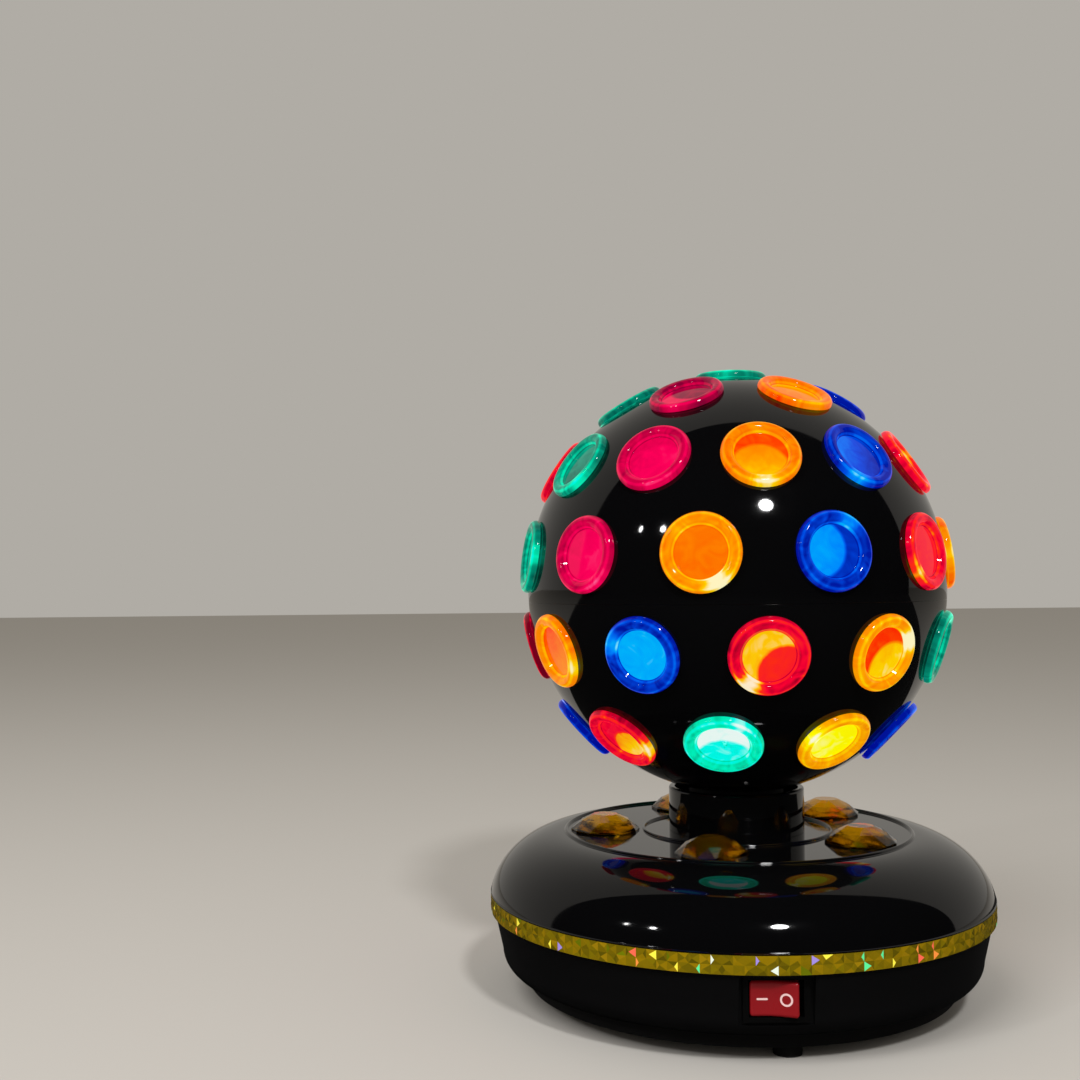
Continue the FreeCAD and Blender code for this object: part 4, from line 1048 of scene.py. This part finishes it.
def cut_stones():
    """Levels of radius * share * (cos a, sin a) and a height. Quads join the two girdle levels,
    two triangles a side join each higher pair, and a polygon closes each end."""
    share, height, shift = STONE_LEVELS.T[:, :, None]
    side = np.arange(STONE_SIDES)
    angle = 2 * np.pi / STONE_SIDES * (side + shift)
    radius = STONE_RADIUS * share
    points = on_deck(np.stack([radius * np.cos(angle), radius * np.sin(angle), height + 0 * angle], -1))
    bottom, girdle, crown, table = side + STONE_SIDES * np.arange(len(STONE_LEVELS))[:, None]
    walls = np.stack([bottom, np.roll(bottom, -1), np.roll(girdle, -1), girdle], -1)
    slopes = np.concatenate([
        np.stack([girdle, np.roll(girdle, -1), crown], -1),
        np.stack([np.roll(girdle, -1), np.roll(crown, -1), crown], -1),
        np.stack([crown, np.roll(crown, -1), np.roll(table, -1)], -1),
        np.stack([crown, np.roll(table, -1), table], -1),
    ])
    ends = np.stack([bottom[::-1], table])
    first = np.arange(STONES)[:, None, None] * len(STONE_LEVELS) * STONE_SIDES
    faces = []
    for kind in (walls, slopes, ends):
        faces += (kind[None] + first).reshape(-1, kind.shape[1]).tolist()
    mesh = bpy.data.meshes.new("amber_stones")
    mesh.from_pydata(points.reshape(-1, 3).tolist(), [], faces)
    obj = linked("amber_stones", mesh)
    return close(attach(obj, "base"), smooth=False)


stones = cut_stones()
print("stones", len(stones.data.polygons), "faces")

# %% Stone foils
FOIL_SIDES = 6
# radius, height, rise and fall
FOIL_RINGS = np.array([
    (0.0, 0.3, 0.0), (7.0, 0.35, 0.15), (13.4, 0.3, -0.15), (13.4, 0.06, 0.0), (0.0, 0.06, 0.0),
])


def foil_points():
    """Rings of radius r at a height h that rises and falls by w from one column to the next."""
    r, h, w = FOIL_RINGS.T[:, :, None]
    turn = 2 * np.pi / FOIL_SIDES * np.arange(FOIL_SIDES)
    wave = np.where(np.arange(FOIL_SIDES) % 2, 1.0, -1.0)
    return on_deck(np.stack([r * np.cos(turn), r * np.sin(turn), h + w * wave], -1))


foils = close(grid_mesh("stone_foils", foil_points(), "base", wrap_rows=False), smooth=False)
print("stone foils", len(foils.data.polygons), "faces")

# %% [markdown]
# ## Plain materials for the CAD pieces
#
# What is left keeps its CAD shape. The lower shell is textured plastic with fine upright
# lines, and inside are nylon, brass, steel and glass. The real texture and grain are finer
# than a pixel, so both are drawn about a millimetre or three wide, and very shallow.

# %% Textured and plain plastics
LINE_PITCH = 1.111 * MM
LINE_STRETCH = 0.06
LINE_DEPTH = 0.1 * MM
GRAIN = 3.333 * MM
GRAIN_DEPTH = 0.2 * MM


def textured_black_abs():
    """Black ABS from a lightly textured tool: it gives the eye a soft sheen with upright lines."""
    made, tree, shader = material("abs_black_textured")
    place = add(tree, "ShaderNodeTexCoord")
    stretch = add(tree, "ShaderNodeMapping", {
        "Vector": place.outputs["Object"], "Scale": (1.0, 1.0, LINE_STRETCH),
    })
    lines = add(tree, "ShaderNodeTexNoise", {
        "Vector": stretch.outputs["Vector"], "Scale": 1 / LINE_PITCH, "Detail": 2.0,
    })
    bump = add(tree, "ShaderNodeBump", {
        "Height": lines.outputs["Fac"], "Strength": 0.25, "Distance": LINE_DEPTH,
    })
    feed(tree, shader, {
        "Base Color": linear("#0b0b0c"), "Roughness": 0.24, "IOR": ABS_IOR,
        "Normal": bump.outputs["Normal"],
    })
    return made


def plain(name, hex_colour, roughness, metallic=0.0):
    """A plain moulded or plated surface with a fine grain in its relief."""
    made, tree, shader = material(name)
    place = add(tree, "ShaderNodeTexCoord")
    noise = add(tree, "ShaderNodeTexNoise", {
        "Vector": place.outputs["Object"], "Scale": 1 / GRAIN, "Detail": 3.0,
    })
    bump = add(tree, "ShaderNodeBump", {
        "Height": noise.outputs["Fac"], "Strength": 0.03, "Distance": GRAIN_DEPTH,
    })
    feed(tree, shader, {
        "Base Color": linear(hex_colour), "Roughness": roughness, "Metallic": metallic,
        "Normal": bump.outputs["Normal"],
    })
    return made


def clear(name, hex_colour, ior):
    """A clear, perfectly smooth glass or acrylic in one tint."""
    made, tree, shader = material(name)
    feed(tree, shader, {
        "Base Color": linear(hex_colour), "Roughness": 0.0, "IOR": ior, "Transmission Weight": 1.0,
    })
    return made


# %% Finishes
FINISHES = {
    textured_black_abs(): ["base_lower_shell"],
    plain("abs_black_moulded", "#0d0d0e", 0.45): ["bottom_cover", "lamp_holder"],
    plain("polyamide_black_moulded", "#070707", 0.22): ["switch_body"],
    plain("rubber_black_moulded", "#101010", 0.8): ["rubber_feet", "cord_grommet"],
    plain("nylon_natural_moulded", "#e6e2d6", 0.45): ["ring_gear", "drive_pinion", "thrust_washer"],
    # the hub's near-black colour is painted shade: it keeps the flange seen under the ball dark
    plain("nylon_dark_painted_shade", "#141415", 0.5): ["ball_hub"],
    plain("steel_zinc_plated", "#b9bbbf", 0.3, 1.0): [
        "retaining_ring", "hub_screws", "motor_shaft", "gear_motor", "motor_screws",
        "neck_screws", "base_screws", "lamp_post",
    ],
    plain("brass_drawn", "#d8b05c", 0.28, 1.0): [
        "bearing_sleeve", "post_nuts", "lamp_cap", "switch_terminals",
    ],
    clear("glass_clear_blown", "#f4f8fa", 1.5): ["lamp_bulb"],
}
for made, nodes in FINISHES.items():
    for name in nodes:
        finish_node(name, made)
red_nylon = plain("polyamide_red_moulded", "#8e0e17", 0.3)
dress(rocker, red_nylon, "rocker_red", "switch_rocker")
dress(pins, red_nylon, "rocker_red", "switch_rocker")
print_white = plain("paint_white_pad_printed", "#f0c8c8", 0.5)
dress(bar_mark, print_white, "rocker_red")
dress(ring_mark, print_white, "rocker_red")
dress(stones, clear("acrylic_amber_faceted", "#f0c020", ACRYLIC_IOR), "jewel_amber", "deck_jewels")
dress(foils, plain("foil_gold_crumpled", "#f0d890", 0.16, 0.94), "jewel_amber")
print(sum(len(nodes) for nodes in FINISHES.values()), "CAD pieces keep their shape")

# %% [markdown]
# ## Floor, room and cloth
#
# A pale floor takes the shadow, and the room is the same pale grey all round. Black gloss
# mirrors whatever it faces, and in the photograph the ball faces a dark room: only its edge
# mirrors the pale wall behind it. Photographers do that with a black cloth round the camera,
# so half a dome of black cloth stands in front, with more of it on the table. It is hidden
# from the camera and lets all lamp light through, so it shows only as a mirror image.

# %% Floor, room and cloth
FLOOR_HALF = 6.0
CLOTH_RADIUS = 2.5
CLOTH_EDGE = 95.0
CLOTH_LIFT = 0.5 * MM
CLOTH_ROWS = 32
CLOTH_COLUMNS = 48


def stage_piece(name, mesh, made):
    """Links a mesh that belongs to the stage, not to the light."""
    obj = linked(name, mesh)
    mesh.materials.append(made)
    return obj


def cloth_mesh():
    """Part of a sphere about -Y, radius * (sin a cos b, -cos a, sin a sin b), and the same
    part laid flat on the table, where the last term is a small lift."""
    a = np.radians(np.linspace(0, CLOTH_EDGE, CLOTH_ROWS + 1))[:, None]
    b = np.radians(np.linspace(0, 180, CLOTH_COLUMNS + 1))[None]
    x, y, z = np.sin(a) * np.cos(b), -np.cos(a) + 0 * b, np.sin(a) * np.sin(b)
    dome = CLOTH_RADIUS * np.stack([x, y, z], -1)
    flat = np.stack([CLOTH_RADIUS * x, CLOTH_RADIUS * y, CLOTH_LIFT + 0 * x], -1)
    below = CLOTH_COLUMNS + 1
    corner = (below * np.arange(CLOTH_ROWS)[:, None] + np.arange(CLOTH_COLUMNS)).reshape(-1)
    quads = np.stack([corner, corner + 1, corner + below + 1, corner + below], -1)
    mesh = bpy.data.meshes.new("black_cloth")
    points = np.concatenate([dome.reshape(-1, 3), flat.reshape(-1, 3)])
    mesh.from_pydata(points.tolist(), [], np.concatenate([quads, quads + dome.size // 3]).tolist())
    return mesh


floor_mesh = bpy.data.meshes.new("floor")
corners = FLOOR_HALF * np.array([(-1, -1, 0), (1, -1, 0), (1, 1, 0), (-1, 1, 0)])
floor_mesh.from_pydata(corners.tolist(), [], [(0, 1, 2, 3)])
plaster, floor_tree, floor_shader = material("plaster_pale")
feed(floor_tree, floor_shader, {
    "Base Color": linear("#c4c0ba"), "Roughness": 1.0, "Specular IOR Level": 0.0,
})
stage_piece("floor", floor_mesh, plaster)
cloth = stage_piece("black_cloth", cloth_mesh(), plain("cloth_black_velvet", "#060606", 1.0))
cloth.visible_camera = False
cloth.visible_diffuse = False
cloth.visible_shadow = False

world = bpy.data.worlds.new("room")
bpy.context.scene.world = world
world.use_nodes = True
world.node_tree.nodes["Background"].inputs["Color"].default_value = linear("#b0aca5")

# %% [markdown]
# ## Lamps
#
# Three small soft lamps are placed so that their mirror images fall on the ball where the
# photograph has its highlights: the way from the eye to the ball is reflected in the ball's
# surface, and the lamp stands along that way. A large soft lamp gives the plain level of
# light. It is hidden from mirrors, so the gloss stays dark.

# %% Lamps
# pixel across, pixel down, width and height in metres, power in watts
HIGHLIGHTS = {
    "ceiling_lamp": (766, 505, 0.17, 0.15, 10.0),
    "window_left": (641, 529, 0.05, 0.08, 0.5),
    "window_right": (663, 529, 0.07, 0.08, 1.2),
}
LAMP_DISTANCE = 1.4
KEY_PLACE = Vector((-0.9, -1.3, 1.7))
KEY_SIZE = 1.3
KEY_POWER = 22.0


def mirrored(pixel_x, pixel_y):
    """The point on the ball seen at a pixel, and the direction its mirror image comes from."""
    across = (pixel_x - IMAGE_SIDE / 2) / FOCAL_PIXELS
    down = (pixel_y - IMAGE_SIDE / 2) / FOCAL_PIXELS
    ray = (forward + right * across - up * down).normalized()
    to_eye = eye - Vector(CENTRE)
    b = ray.dot(to_eye)
    length = -b - math.sqrt(b * b - to_eye.length_squared + BALL_RADIUS ** 2)
    point = eye + ray * length
    normal = (point - Vector(CENTRE)).normalized()
    return point, ray - normal * 2 * ray.dot(normal)


def soft_lamp(name, place, target, width, height, power):
    """An elliptical area lamp that faces a target."""
    light = bpy.data.lights.new(name, "AREA")
    light.shape = "ELLIPSE"
    light.size, light.size_y, light.energy = width, height, power
    lamp = linked(name, light)
    lamp.location = place
    lamp.rotation_euler = (target - place).to_track_quat("-Z", "Y").to_euler()
    return lamp


for name, (x, y, width, height, power) in HIGHLIGHTS.items():
    point, way = mirrored(x, y)
    soft_lamp(name, point + way * LAMP_DISTANCE, point, width, height, power)
    print(name, "towards", [round(c, 2) for c in way])
key = soft_lamp("key_lamp", KEY_PLACE, Vector(CENTRE), KEY_SIZE, KEY_SIZE, KEY_POWER)
key.visible_glossy = False
